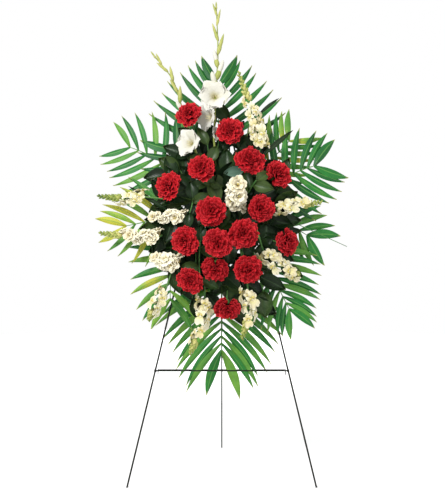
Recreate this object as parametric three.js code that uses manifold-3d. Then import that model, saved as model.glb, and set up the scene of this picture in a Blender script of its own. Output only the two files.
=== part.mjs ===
// A standing funeral spray: red carnations, white gladioli, snapdragons and stocks over palm
// fronds and lemon leaf, set in a caged block of floral foam on a three-legged wire easel.
// Millimetres, +Z up, the front faces -Y. The origin is on the floor, under the middle of the part.

import * as THREE from 'three';
import { mergeVertices } from 'three/addons/utils/BufferGeometryUtils.js';
import Module from 'manifold-3d';

const wasm = await Module();
wasm.setup();

// Driving dimensions of the easel
const FOOT_HALF_SPREAD = 290;
const TOP_HALF_SPREAD = 10;
const TOP_SETBACK = 230;
const TOP_HEIGHT = 1164;
const LEG_RADIUS = 2.75;
const BACK_FOOT_SETBACK = 480;
const BACK_LEG_RADIUS = 2.25;
const PIVOT_RADIUS = 3;
const PIVOT_HALF_LENGTH = 18;
const EYE_INNER_RADIUS = 3.5;
const EYE_OUTER_RADIUS = 8;
const CROSSBAR_HEIGHT = 348;
const CROSSBAR_RADIUS = 2.25;
const TIE_EYE_RADIUS = 4;
const TIE_EYE_WIRE = 1.2;
const LEDGE_RADIUS = 1.4;
const LEDGE_DEPTH = 45;
const FIT_GAP = 0.3;

// Driving dimensions of the foam, its cage and the spray
const SPRAY_HEIGHT = 846;
const FOAM_HALF_WIDTH = 115;
const FOAM_HALF_HEIGHT = 55;
const FOAM_FRONT = -95;
const CAGE_WALL = 2;
const TRAY_LIP = 9;
const HOOP_PLACES = [-64, 14];
const HOOP_HALF_WIDTH = 2;
const STEM_DEPTH = 24;
const STEM_CLEARANCE = 0.5;
const BORE_SIDES = 4;
const SPRAY_ARCH = 16;
const ARCH_REACH = 400;
const CARNATION_DIAMETER = 84;

// Colours of the finishes
const finish = (color, roughness, metalness = 0) =>
  new THREE.MeshStandardMaterial({ color, roughness, metalness });
const wireGreen = () => finish('#23281f', 0.45, 0.4);
const foamGreen = () => finish('#3f6b45', 0.95);
const cageGreen = () => finish('#2f5a34', 0.5);
const palmGreen = () => finish('#3f8a34', 0.55);
const leafGreen = () => finish('#2c4a26', 0.5);
const stemGreen = () => finish('#6d8f4a', 0.6);
const petalRed = () => finish('#cc1822', 0.6);
const petalWhite = () => finish('#f4f1e4', 0.6);
const petalCream = () => finish('#efe6bd', 0.6);

const at = (x, y, z) => new THREE.Vector3(x, y, z);
const vectors = (places) => places.map(([x, y, z]) => at(x, y, z));
const UP = at(0, 0, 1);
const FRONT = at(0, -1, 0);
const mix = (a, b, t) => a + (b - a) * t;
const jitter = (random, size) => size * (random() - 0.5);

function seeded(seed) {
  let state = seed;
  return () => {
    state = (Math.imul(state, 1664525) + 1013904223) >>> 0;
    return state / 4294967296;
  };
}

// Solids and their meshes
function toSolid(geometry) {
  const plain = geometry.clone();
  plain.deleteAttribute('normal');
  plain.deleteAttribute('uv');
  const merged = mergeVertices(plain, 1e-4);
  return new wasm.Manifold(
    new wasm.Mesh({
      numProp: 3,
      vertProperties: Float32Array.from(merged.attributes.position.array),
      triVerts: Uint32Array.from(merged.index.array),
    }),
  );
}

function toGeometry(solid) {
  const mesh = solid.getMesh();
  const geometry = new THREE.BufferGeometry();
  geometry.setAttribute('position', new THREE.BufferAttribute(mesh.vertProperties, 3));
  geometry.setIndex(new THREE.BufferAttribute(mesh.triVerts, 1));
  return geometry;
}

function fuse(geometries) {
  return geometries.map(toSolid).reduce((whole, piece) => whole.add(piece));
}

function addMesh(group, name, solid, material) {
  const mesh = new THREE.Mesh(toGeometry(solid), material);
  mesh.name = name;
  group.add(mesh);
}

// A closed skin through rings of points; a ring of one point closes an end
function loft(rings) {
  const points = rings.flat();
  const faces = [];
  let start = 0;
  for (let i = 0; i + 1 < rings.length; i += 1) {
    const near = rings[i].length;
    const far = rings[i + 1].length;
    const next = start + near;
    const count = Math.max(near, far);
    for (let j = 0; j < count; j += 1) {
      const k = (j + 1) % count;
      if (near > 1) faces.push(start + j, start + k, next + (far > 1 ? k : 0));
      if (far > 1) faces.push(start + (near > 1 ? j : 0), next + k, next + j);
    }
    start = next;
  }
  for (let j = 1; j + 1 < rings[0].length; j += 1) faces.push(0, j + 1, j);
  for (let j = 1; j + 1 < rings.at(-1).length; j += 1) faces.push(start, start + j, start + j + 1);
  let volume = 0;
  for (let i = 0; i < faces.length; i += 3) {
    const [a, b, c] = [points[faces[i]], points[faces[i + 1]], points[faces[i + 2]]];
    volume += a.dot(b.clone().cross(c));
  }
  if (volume < 0) {
    for (let i = 0; i < faces.length; i += 3) [faces[i], faces[i + 1]] = [faces[i + 1], faces[i]];
  }
  const geometry = new THREE.BufferGeometry().setFromPoints(points);
  geometry.setIndex(faces);
  return geometry;
}

// A ring of points round a middle, square to the way the rod runs there
function ringRound(middle, side, other, radius, count) {
  return Array.from({ length: count }, (unused, j) => {
    const turn = (2 * Math.PI * (j + 0.5)) / count;
    return middle
      .clone()
      .addScaledVector(side, radius * Math.cos(turn))
      .addScaledVector(other, radius * Math.sin(turn));
  });
}

// A round rod through points, its radius given as a function of how far along it is
function rod(points, sides, radiusAt) {
  const last = points.length - 1;
  let side = null;
  const rings = points.map((middle, i) => {
    const before = points[Math.max(i - 1, 0)];
    const after = points[Math.min(i + 1, last)];
    const along = after.clone().sub(before).normalize();
    side ??= along.clone().cross(Math.abs(along.z) > 0.8 ? at(1, 0, 0) : UP);
    side = side.clone().addScaledVector(along, -side.dot(along)).normalize();
    return ringRound(middle, side, along.clone().cross(side), radiusAt(i / last), sides);
  });
  return loft(rings);
}

function block(low, high) {
  const size = high.clone().sub(low);
  const geometry = new THREE.BoxGeometry(size.x, size.y, size.z);
  geometry.translate(low.x + size.x / 2, low.y + size.y / 2, low.z + size.z / 2);
  return geometry;
}

const easel = new THREE.Group();
const spray = new THREE.Group();

// Easel legs: two straight wires, cut level at the floor and under the pivot bar
const LEG_OVERRUN = 1.02;
const CUT_REACH = 1000;
const CUT_DEPTH = 60;
const floorCut = toSolid(block(at(-CUT_REACH, -CUT_REACH, -CUT_DEPTH), at(CUT_REACH, CUT_REACH, 0)));
const topCut = toSolid(
  block(at(-CUT_REACH, -CUT_REACH, TOP_HEIGHT), at(CUT_REACH, CUT_REACH, TOP_HEIGHT + CUT_DEPTH)),
);

function legEnds(side) {
  const foot = at(side * FOOT_HALF_SPREAD, 0, 0);
  const top = at(side * TOP_HALF_SPREAD, TOP_SETBACK, TOP_HEIGHT);
  return [top.clone().lerp(foot, LEG_OVERRUN), foot.clone().lerp(top, LEG_OVERRUN)];
}

for (const [name, side] of [['easel_leg_left', -1], ['easel_leg_right', 1]]) {
  const leg = toSolid(rod(legEnds(side), 10, () => LEG_RADIUS));
  addMesh(easel, name, leg.subtract(floorCut).subtract(topCut), wireGreen());
}

// Pivot bar across the leg tops
const pivot = at(0, TOP_SETBACK, TOP_HEIGHT + PIVOT_RADIUS + FIT_GAP);
const pivotEnds = [-1, 1].map((side) => pivot.clone().setX(side * PIVOT_HALF_LENGTH));
addMesh(easel, 'easel_pivot_bar', toSolid(rod(pivotEnds, 12, () => PIVOT_RADIUS)), wireGreen());

// Back leg: its wire ends in an eye that turns on the pivot bar
const BACK_LEG_OVERRUN = 30;

function pivotEye() {
  const outline = new THREE.Shape().absarc(0, 0, EYE_OUTER_RADIUS, 0, 2 * Math.PI);
  outline.holes.push(new THREE.Path().absarc(0, 0, EYE_INNER_RADIUS, 0, 2 * Math.PI, true));
  const eye = new THREE.ExtrudeGeometry(outline, {
    depth: 2 * BACK_LEG_RADIUS,
    bevelEnabled: false,
    curveSegments: 7,
  });
  eye.translate(0, 0, -BACK_LEG_RADIUS);
  eye.rotateY(Math.PI / 2);
  eye.translate(pivot.x, pivot.y, pivot.z);
  return eye;
}

const backFoot = at(0, BACK_FOOT_SETBACK, 0);
const eyeToFoot = backFoot.clone().sub(pivot).normalize();
const eyeMiddleRadius = (EYE_INNER_RADIUS + EYE_OUTER_RADIUS) / 2;
const backLegEnds = [
  pivot.clone().addScaledVector(eyeToFoot, eyeMiddleRadius),
  backFoot.clone().addScaledVector(eyeToFoot, BACK_LEG_OVERRUN),
];
const backLeg = fuse([pivotEye(), rod(backLegEnds, 10, () => BACK_LEG_RADIUS)]);
addMesh(easel, 'easel_back_leg', backLeg.subtract(floorCut), wireGreen());

// Places on the front frame: across it, behind its middle plane and along its slope
const frameAngle = Math.atan2(TOP_SETBACK, TOP_HEIGHT);
const frameBack = at(0, Math.cos(frameAngle), -Math.sin(frameAngle));
const frameUp = at(0, Math.sin(frameAngle), Math.cos(frameAngle));

function onFrame(x, back, height, rise = 0) {
  return at(x, (TOP_SETBACK * height) / TOP_HEIGHT, height)
    .addScaledVector(frameBack, back)
    .addScaledVector(frameUp, rise);
}

const legHalfSpreadAt = (height) => mix(FOOT_HALF_SPREAD, TOP_HALF_SPREAD, height / TOP_HEIGHT);

// Crossbar on the front of the legs, with a tie eye under its middle
const crossbarReach = legHalfSpreadAt(CROSSBAR_HEIGHT) + LEG_RADIUS;
const crossbarBack = -(LEG_RADIUS + CROSSBAR_RADIUS + FIT_GAP);
const crossbarEnds = [-1, 1].map((side) =>
  onFrame(side * crossbarReach, crossbarBack, CROSSBAR_HEIGHT),
);
const tieEyeDrop = CROSSBAR_RADIUS + TIE_EYE_RADIUS - TIE_EYE_WIRE / 2;
const tieEyeMiddle = onFrame(0, crossbarBack, CROSSBAR_HEIGHT, -tieEyeDrop);
const tieEye = new THREE.TorusGeometry(TIE_EYE_RADIUS, TIE_EYE_WIRE, 5, 10);
tieEye.rotateY(Math.PI / 2);
tieEye.translate(tieEyeMiddle.x, tieEyeMiddle.y, tieEyeMiddle.z);
addMesh(
  easel,
  'easel_crossbar',
  fuse([rod(crossbarEnds, 10, () => CROSSBAR_RADIUS), tieEye]),
  wireGreen(),
);

// Ledge wire: hooked over the crossbar inside each leg, with one shallow bay behind it
const LEDGE_CLEARANCE = 5;
const LEDGE_CORNER = 6;
const HOOK_DROP = 13;
const HOOK_SHOULDER = 0.75;
const ledgeReach =
  legHalfSpreadAt(CROSSBAR_HEIGHT) - LEG_RADIUS - LEDGE_RADIUS - LEDGE_CLEARANCE;
const hookRadius = CROSSBAR_RADIUS + LEDGE_RADIUS + FIT_GAP;
const cornerCut = LEDGE_CORNER * (1 - Math.SQRT1_2);
const ledgeSide = [
  [0, -hookRadius, -HOOK_DROP],
  [0, -hookRadius, 0],
  [0, -hookRadius * HOOK_SHOULDER, hookRadius * HOOK_SHOULDER],
  [0, 0, hookRadius],
  [0, LEDGE_DEPTH - LEDGE_CORNER, hookRadius],
  [-cornerCut, LEDGE_DEPTH - cornerCut, hookRadius],
  [-LEDGE_CORNER, LEDGE_DEPTH, hookRadius],
];
const ledgePoints = [-1, 1].flatMap((side) => {
  const run = ledgeSide.map(([inset, back, rise]) =>
    onFrame(side * (ledgeReach + inset), crossbarBack + back, CROSSBAR_HEIGHT, rise),
  );
  return side < 0 ? run : run.reverse();
});
addMesh(
  easel,
  'easel_ledge_wire',
  toSolid(rod(ledgePoints, 5, () => LEDGE_RADIUS)),
  wireGreen(),
);

// The spray leans with the front frame; in its own frame the legs' middle plane is y = 0
spray.position.copy(onFrame(0, 0, SPRAY_HEIGHT));
spray.rotation.x = -frameAngle;

// Every stem stands in a bore of the foam
const BORE_OVERRUN = 4;
const SLIM_STEM_DEPTH = 0.8 * STEM_DEPTH;
const bores = [];

function arched(geometry, arch = SPRAY_ARCH) {
  const place = geometry.attributes.position;
  for (let i = 0; i < place.count; i += 1) {
    const reach = Math.hypot(place.getX(i), place.getZ(i)) / ARCH_REACH;
    place.setY(i, place.getY(i) + arch * reach * reach);
  }
  return geometry;
}

// The start of a stem inside the foam, behind the point where it leaves
function sunkStart(exit, next, depth = STEM_DEPTH) {
  return exit.clone().add(exit.clone().sub(next).setLength(depth));
}

function bore(start, exit, radius, arch = 0) {
  const way = exit.clone().sub(start).normalize();
  const ends = [start.clone().addScaledVector(way, -1), exit.clone().addScaledVector(way, BORE_OVERRUN)];
  const corner = (radius + STEM_CLEARANCE) / Math.cos(Math.PI / BORE_SIDES);
  bores.push(arched(rod(ends, BORE_SIDES, () => corner), arch));
}

// Where the straight way from an anchor in the foam to a flower leaves the foam
function foamExit(anchor, target) {
  const way = target.clone().sub(anchor);
  const reach = Math.min(
    (Math.sign(way.x) * FOAM_HALF_WIDTH - anchor.x) / way.x,
    (Math.sign(way.z) * FOAM_HALF_HEIGHT - anchor.z) / way.z,
    (FOAM_FRONT - anchor.y) / way.y,
  );
  return anchor.clone().addScaledVector(way, reach);
}

// Palm fronds: a rib with pairs of long leaflets, each a thin blade with a raised midrib
const LEAFLET_RIDGE = 1.7;
const LEAFLET_STATIONS = [[0, 0.3], [0.48, 1]];

function leaflet(root, tip, width, bow) {
  const run = tip.clone().sub(root);
  const side = run.clone().cross(FRONT).normalize();
  const rings = LEAFLET_STATIONS.map(([t, share]) => {
    const middle = root.clone().addScaledVector(run, t);
    middle.addScaledVector(side, bow * 4 * t * (1 - t));
    const half = (width * share) / 2;
    return [
      middle.clone().addScaledVector(side, -half),
      middle.clone().addScaledVector(FRONT, LEAFLET_RIDGE),
      middle.clone().addScaledVector(side, half),
    ];
  });
  return loft([...rings, [tip]]);
}

const fronds = [
  { name: 'palm_frond_top', path: [[-4, -34, 55], [-10, -34, 220], [-11, -34, 389]],
    bare: 0.4, pairs: 8, length: [245, 116], open: [63, 28] },
  { name: 'palm_frond_upper_left', path: [[-90, -50, 55], [-170, -50, 150], [-293, -50, 193]],
    bare: 0.3, pairs: 7, length: [185, 105], open: [72, 35] },
  { name: 'palm_frond_shoulder', path: [[-82, -56, 55], [-108, -56, 130], [-145, -56, 180]],
    bare: 0.5, pairs: 3, length: [150, 115], open: [65, 35] },
  { name: 'palm_frond_upper_right_back', path: [[60, -50, 55], [140, -50, 130], [215, -50, 214]],
    bare: 0.35, pairs: 7, length: [150, 105], open: [58, 40] },
  { name: 'palm_frond_upper_right_front', path: [[115, -66, 35], [200, -66, 85], [292, -66, 129]],
    bare: 0.25, pairs: 7, length: [170, 110], open: [72, 42] },
  { name: 'palm_frond_left', path: [[-115, -66, -10], [-200, -66, -45], [-300, -66, -62]],
    bare: 0.25, pairs: 6, length: [175, 100], open: [62, 22] },
  { name: 'palm_frond_lower_left', path: [[-100, -34, -55], [-165, -34, -160], [-160, -34, -290]],
    bare: 0.4, pairs: 7, length: [150, 115], open: [80, 35] },
  { name: 'palm_frond_right', path: [[115, -34, -15], [190, -34, -40], [270, -34, -88]],
    bare: 0.35, pairs: 5, length: [125, 110], open: [55, 30] },
  { name: 'palm_frond_lower_right', path: [[100, -50, -55], [145, -50, -200], [211, -50, -322]],
    bare: 0.3, pairs: 8, length: [175, 95], open: [66, 26] },
  { name: 'palm_frond_bottom', path: [[0, -34, -55], [-1, 6, -270], [-1, 14, -493]],
    bare: 0.4, pairs: 8, length: [245, 116], open: [63, 28], arch: 6 },
];
const FIRST_FROND_SEED = 11;
const FROND_STEPS = 5;
const RIB_RADIUS = [3.4, 1.6];
const LAST_JOINT = 0.985;
const LEAFLET_WIDTHS = [25, 21];
const END_LEAFLET_WIDTH = 31;
const LENGTH_FALL = 1.4;
const LENGTH_SPREAD = 0.1;
const OPEN_SPREAD = 5;
const LEAFLET_BOW = 0.05;
const LEAFLET_DROOP = 5;

function palmFrond({ name, path, bare, pairs, length, open, arch }, seed) {
  const random = seeded(seed);
  const curve = new THREE.QuadraticBezierCurve3(...vectors(path));
  const exit = curve.getPoint(0);
  const start = sunkStart(exit, curve.getPoint(0.05));
  const rib = [start, ...curve.getPoints(FROND_STEPS)];
  const pieces = [rod(rib, 3, (along) => mix(...RIB_RADIUS, along))];
  for (let i = 0; i < pairs; i += 1) {
    const share = i / (pairs - 1);
    const joint = mix(bare, LAST_JOINT, share);
    const root = curve.getPoint(joint);
    const along = curve.getTangent(joint);
    for (const side of [-1, 1]) {
      const turn = THREE.MathUtils.degToRad(mix(...open, share) + jitter(random, OPEN_SPREAD));
      const way = along.clone().applyAxisAngle(FRONT, side * turn);
      const reach = mix(...length, share ** LENGTH_FALL) * (1 + jitter(random, LENGTH_SPREAD));
      const tip = root.clone().addScaledVector(way, reach);
      tip.y += LEAFLET_DROOP * (random() - 0.3);
      const width = i === pairs - 1 ? END_LEAFLET_WIDTH : mix(...LEAFLET_WIDTHS, share);
      pieces.push(leaflet(root, tip, width, -side * LEAFLET_BOW * reach));
    }
  }
  bore(start, exit, RIB_RADIUS[0], arch ?? SPRAY_ARCH);
  addMesh(spray, name, fuse(pieces.map((piece) => arched(piece, arch))), palmGreen());
}

fronds.forEach((frond, i) => palmFrond(frond, FIRST_FROND_SEED + i));

// Carnations: a ruffled head in rings of toothed petals, on a green calyx and stem
const HEAD_TOOTH_COUNT = 12;
const HEAD_WAVES = 5;
const TOOTH_DEPTH = 0.045;
const TOOTH_SPREAD = 0.1;
const LAYER_TURN = 0.1;
const WAVE_TURN = 0.7;
const HEAD_BACK = 0.27;
const HEAD_RINGS = [
  { reach: 0.1, rise: -HEAD_BACK, ruffle: 0 },
  { reach: 0.5, rise: -0.1, ruffle: 0.035, rim: true },
  { reach: 0.24, rise: -0.06, ruffle: 0.01 },
  { reach: 0.43, rise: 0.03, ruffle: 0.035, rim: true },
  { reach: 0.18, rise: 0.05, ruffle: 0.01 },
  { reach: 0.32, rise: 0.14, ruffle: 0.03, rim: true },
  { reach: 0.12, rise: 0.13, ruffle: 0.01 },
  { reach: 0.17, rise: 0.22, ruffle: 0.025, rim: true },
];
const HEAD_CROWN = 0.17;

function carnationHead(middle, facing, diameter, random) {
  const turnTo = new THREE.Quaternion().setFromUnitVectors(UP, facing);
  const place = (x, y, z) => at(x, y, z).multiplyScalar(diameter).applyQuaternion(turnTo).add(middle);
  const rings = HEAD_RINGS.map(({ reach, rise, ruffle, rim }, layer) => {
    const phase = (layer + random()) * WAVE_TURN;
    return Array.from({ length: HEAD_TOOTH_COUNT }, (unused, j) => {
      const turn = (2 * Math.PI * j) / HEAD_TOOTH_COUNT + LAYER_TURN * layer;
      const toothed = TOOTH_DEPTH * (j % 2 ? 1 : -1) + jitter(random, TOOTH_SPREAD);
      const tooth = rim ? 1 + toothed : 1;
      const wave = ruffle * (Math.sin(HEAD_WAVES * turn + phase) + jitter(random, 0.5));
      return place(reach * tooth * Math.cos(turn), reach * tooth * Math.sin(turn), rise + wave);
    });
  });
  return loft([...rings, [place(0, 0, HEAD_CROWN)]]);
}

const CALYX = [
  [0, 8],
  [7, 8.6],
  [20, 6.6],
  [27, 2.6],
];
const CARNATION_STEM_RADIUS = 2.3;
const STEM_AIM = 18;
const STEM_BEND = 22;
const FIRST_PAIR_SEED = 101;
const carnationPairs = [
  { anchor: [-45, -50, 28], heads: [
    { number: '01', middle: [-102, -128, 276], facing: [-0.2, 0.35], size: 0.95 },
    { number: '03', middle: [-63, -165, 100], facing: [-0.15, 0.2], size: 1 }] },
  { anchor: [25, -50, 28], heads: [
    { number: '02', middle: [27, -130, 222], facing: [0.05, 0.3], size: 1.03 },
    { number: '04', middle: [85, -160, 124], facing: [0.2, 0.25], size: 1.06 }] },
  { anchor: [-75, -50, 5], heads: [
    { number: '05', middle: [-162, -140, 48], facing: [-0.8, 0.1], size: 1.02 },
    { number: '07', middle: [-32, -185, -35], facing: [-0.05, 0], size: 1.04 }] },
  { anchor: [85, -50, 15], heads: [
    { number: '06', middle: [173, -125, 88], facing: [0.45, 0.2], size: 1 },
    { number: '08', middle: [117, -175, -27], facing: [0.35, 0], size: 1 }] },
  { anchor: [-80, -50, -28], heads: [
    { number: '09', middle: [-110, -175, -125], facing: [-0.4, -0.1], size: 1.03 },
    { number: '15', middle: [-94, -150, -242], facing: [-0.25, -0.4], size: 0.95 }] },
  { anchor: [-15, -50, -28], heads: [
    { number: '10', middle: [-12, -198, -135], facing: [-0.05, -0.1], size: 1 },
    { number: '13', middle: [-19, -150, -206], facing: [-0.05, -0.75], size: 0.98 }] },
  { anchor: [30, -50, -30], heads: [
    { number: '14', middle: [79, -165, -211], facing: [0.15, -0.3], size: 1.02 },
    { number: '16', middle: [18, -125, -323], facing: [0.05, -0.85], size: 0.9 }] },
  { anchor: [75, -50, -25], heads: [
    { number: '11', middle: [65, -192, -105], facing: [0.1, -0.1], size: 1.05 },
    { number: '12', middle: [198, -130, -119], facing: [0.85, -0.1], size: 1 }] },
];

function carnationStem(anchor, middle, facing, diameter) {
  const calyxTop = middle.clone().addScaledVector(facing, -HEAD_BACK * diameter - FIT_GAP);
  const calyxFoot = calyxTop.clone().addScaledVector(facing, -CALYX.at(-1)[0]);
  const exit = foamExit(anchor, calyxFoot.clone().addScaledVector(facing, -STEM_AIM));
  const bend = calyxFoot.clone().addScaledVector(facing, -STEM_BEND);
  const stem = new THREE.QuadraticBezierCurve3(exit, bend, calyxFoot).getPoints(3);
  const calyx = CALYX.toReversed().map(([down]) => calyxTop.clone().addScaledVector(facing, -down));
  const radii = [
    ...[anchor, ...stem].map(() => CARNATION_STEM_RADIUS),
    ...CALYX.toReversed().slice(1).map(([, radius]) => radius),
  ];
  const points = [anchor, ...stem, ...calyx.slice(1)];
  bore(anchor, exit, CARNATION_STEM_RADIUS);
  return rod(points, 4, (along) => radii[Math.round(along * (points.length - 1))]);
}

carnationPairs.forEach(({ anchor, heads }, pair) => {
  const random = seeded(FIRST_PAIR_SEED + pair);
  const stems = heads.map(({ number, middle, facing, size }) => {
    const diameter = CARNATION_DIAMETER * size;
    const way = at(facing[0], -1, facing[1]).normalize();
    const head = carnationHead(at(...middle), way, diameter, random);
    addMesh(spray, `carnation_${number}_head`, toSolid(head), petalRed());
    return carnationStem(at(...anchor), at(...middle), way, diameter);
  });
  const numbers = heads.map(({ number }) => number).join('_');
  addMesh(spray, `carnation_stems_${numbers}`, fuse(stems), stemGreen());
});

// Buds and open florets that the flower spikes carry
const LOBE_SPREAD = 0.1;

function bud(root, way, length, width, sides) {
  const side = way.clone().cross(Math.abs(way.z) > 0.8 ? at(1, 0, 0) : UP).normalize();
  const other = way.clone().cross(side);
  const ring = (t, share) =>
    ringRound(root.clone().addScaledVector(way, length * t), side, other, (width * share) / 2, sides);
  return loft([ring(0, 0.35), ring(0.5, 1), [root.clone().addScaledVector(way, length)]]);
}

function floret(root, way, profile, lobes, random) {
  const turnTo = new THREE.Quaternion().setFromUnitVectors(UP, way);
  const start = random() * Math.PI;
  const rings = profile.map(({ reach, rise, lobed = 0, wave = 0 }) => {
    if (reach === 0) return [at(0, 0, rise).applyQuaternion(turnTo).add(root)];
    return Array.from({ length: 2 * lobes }, (unused, j) => {
      const turn = start + (Math.PI * j) / lobes;
      const spread = lobed > 0 ? jitter(random, LOBE_SPREAD) : 0;
      const out = reach * (j % 2 ? 1 - lobed : 1) * (1 + spread);
      const lift = rise + wave * (j % 4 < 2 ? 1 : -1);
      return at(out * Math.cos(turn), out * Math.sin(turn), lift).applyQuaternion(turnTo).add(root);
    });
  });
  return loft(rings);
}

// The way out of a spike at a turn round it, leaning towards its tip and kept off the fronds
function wayOut(along, turn, lean) {
  const side = along.clone().cross(FRONT).normalize();
  const front = side.clone().cross(along).normalize();
  return side
    .multiplyScalar(Math.cos(turn))
    .addScaledVector(front, Math.sin(turn))
    .addScaledVector(along, lean)
    .normalize();
}

// Gladioli: a tall stem with funnel florets below and pointed buds to the tip
const GLADIOLUS_RADIUS = [3.6, 1.5];
const GLADIOLUS_BUD_LEAN = 3;
const FIRST_GLADIOLUS_SEED = 301;
const gladiolusFloret = (size) => [
  { reach: 0, rise: -0.1 * size },
  { reach: 0.2 * size, rise: 0.3 * size },
  { reach: size, rise: 0.72 * size, lobed: 0.3, wave: 0.09 * size },
  { reach: 0.42 * size, rise: 0.6 * size },
  { reach: 0, rise: 0.22 * size },
];
const gladioli = [
  { name: 'gladiolus_tall',
    path: [[-24, -88, 203], [-20, -92, 330], [-12, -86, 480], [-18, -74, 652]],
    anchor: [-8, -60, 30],
    florets: [
      { mark: 0.33, turn: 1.9, lean: 0.4, size: 50 },
      { mark: 0.22, turn: 0.8, lean: 0.1, size: 42 },
      { mark: 0.1, turn: 2.7, lean: 0.35, size: 34 }],
    buds: [
      { mark: 0.42, turn: 2.9, length: 55, width: 18 },
      { mark: 0.49, turn: 0.5, length: 62, width: 16 },
      { mark: 0.58, turn: 2.6, length: 52, width: 14 },
      { mark: 0.67, turn: 0.5, length: 66, width: 12 },
      { mark: 0.76, turn: 2.7, length: 56, width: 10 },
      { mark: 0.86, turn: 0.6, length: 50, width: 8 }] },
  { name: 'gladiolus_left',
    path: [[-80, -108, 162], [-104, -80, 245], [-129, -66, 327], [-156, -66, 405], [-218, -66, 485]],
    anchor: [-35, -60, 30],
    florets: [{ mark: 0.04, turn: 1.75, lean: 0.25, size: 44 }],
    buds: [
      { mark: 0.4, turn: 2.6, length: 45, width: 14 },
      { mark: 0.52, turn: 0.4, length: 50, width: 13 },
      { mark: 0.62, turn: 2.5, length: 45, width: 10 },
      { mark: 0.74, turn: 0.6, length: 45, width: 9 }] },
];

gladioli.forEach(({ name, path, anchor, florets, buds }, i) => {
  const random = seeded(FIRST_GLADIOLUS_SEED + i);
  const curve = new THREE.CatmullRomCurve3(vectors(path));
  const exit = foamExit(at(...anchor), curve.getPoint(0));
  const start = sunkStart(exit, curve.getPoint(0));
  const stem = [start, exit, ...curve.getPoints(7)];
  const pieces = [rod(stem, 4, (along) => mix(...GLADIOLUS_RADIUS, along))];
  for (const { mark, turn, lean, size } of florets) {
    const way = wayOut(curve.getTangent(mark), turn, lean);
    pieces.push(floret(curve.getPoint(mark), way, gladiolusFloret(size), 5, random));
  }
  for (const { mark, turn, length, width } of buds) {
    const way = wayOut(curve.getTangent(mark), turn, GLADIOLUS_BUD_LEAN);
    pieces.push(bud(curve.getPoint(mark), way, length, width, 4));
  }
  bore(start, exit, GLADIOLUS_RADIUS[0]);
  addMesh(spray, name, fuse(pieces), petalWhite());
});

// Snapdragons and stocks: florets close round the lower stem, small buds at the tip
const snapdragonFloret = (size) => [
  { reach: 0, rise: -1 },
  { reach: 0.32 * size, rise: 0.45 * size },
  { reach: 0.52 * size, rise: 0.9 * size, lobed: 0.34, wave: 0.12 * size },
  { reach: 0, rise: 0.66 * size },
];
const stockFloret = (size) => [
  { reach: 0, rise: -1 },
  { reach: 0.56 * size, rise: 0.6 * size, lobed: 0.22, wave: 0.05 * size },
  { reach: 0.3 * size, rise: 0.78 * size },
  { reach: 0, rise: 0.72 * size },
];
const SPIKE_RADIUS = [3, 1.6];
const FIRST_SPIKE_SEED = 501;
const FLORET_START = 0.02;
const FLORET_TURN = 1.75;
const FLORET_SPREAD = 0.4;
const FLORET_LEAN = 0.3;
const FRONT_HALF = { from: 0.1, range: 2.9 };
const SPIKE_BUDS = { gap: 0.06, end: 0.99, from: 0.4, turn: 1.15, lean: 1.3 };
const SPIKE_BUD_LENGTH = [17, 12];
const SPIKE_BUD_WIDTH = [11, 7];
const spikes = [
  { name: 'snapdragon_upper_right', kind: snapdragonFloret, count: 7, size: [36, 26],
    path: [[122, -100, 176], [100, -104, 270], [53, -92, 416]], full: 0.62, buds: 4,
    anchor: [48, -60, 30] },
  { name: 'snapdragon_left', kind: snapdragonFloret, count: 4, size: [34, 24],
    path: [[-235, -112, 20], [-300, -106, 16], [-377, -98, 24]], full: 0.5, buds: 4,
    anchor: [-92, -80, 10] },
  { name: 'snapdragon_right', kind: snapdragonFloret, count: 5, size: [36, 26],
    path: [[168, -104, -12], [230, -104, -6], [305, -96, 6]], full: 0.58, buds: 3,
    anchor: [84, -62, -4] },
  { name: 'snapdragon_low_left', kind: snapdragonFloret, count: 6, size: [34, 28],
    path: [[-52, -100, -290], [-60, -96, -370], [-95, -86, -456]], full: 0.72, buds: 3,
    anchor: [-45, -60, -26] },
  { name: 'snapdragon_low_right', kind: snapdragonFloret, count: 5, size: [36, 26],
    path: [[80, -104, -266], [82, -102, -335], [62, -92, -410]], full: 0.6, buds: 3,
    anchor: [50, -62, -28] },
  { name: 'snapdragon_far_left', kind: snapdragonFloret, count: 4, size: [34, 28],
    path: [[-170, -100, -262], [-200, -96, -310], [-221, -88, -353]], full: 0.62, buds: 3,
    anchor: [-92, -64, -22] },
  { name: 'snapdragon_far_right', kind: snapdragonFloret, count: 6, size: [34, 30],
    path: [[126, -122, -148], [175, -114, -194], [232, -98, -220]], full: 0.85, buds: 2,
    anchor: [94, -66, -20] },
  { name: 'stock_left', kind: stockFloret, count: 7, size: [38, 32],
    path: [[-190, -112, -104], [-290, -104, -100], [-371, -94, -90]], full: 0.72, buds: 3,
    anchor: [-88, -64, -14] },
  { name: 'stock_upper_left', kind: stockFloret, count: 5, size: [34, 30],
    path: [[-112, -122, -44], [-160, -118, -42], [-215, -106, -44]], full: 0.9, buds: 1,
    anchor: [-70, -60, -10] },
  { name: 'stock_middle', kind: stockFloret, count: 5, size: [40, 36],
    path: [[44, -128, -14], [44, -150, 18], [46, -166, 52]], full: 0.95, buds: 1,
    anchor: [30, -60, 2] },
  { name: 'stock_lower_left', kind: stockFloret, count: 5, size: [40, 34],
    path: [[-132, -116, -186], [-170, -112, -180], [-215, -98, -166]], full: 0.8, buds: 2,
    anchor: [-98, -66, -14] },
];

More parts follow.
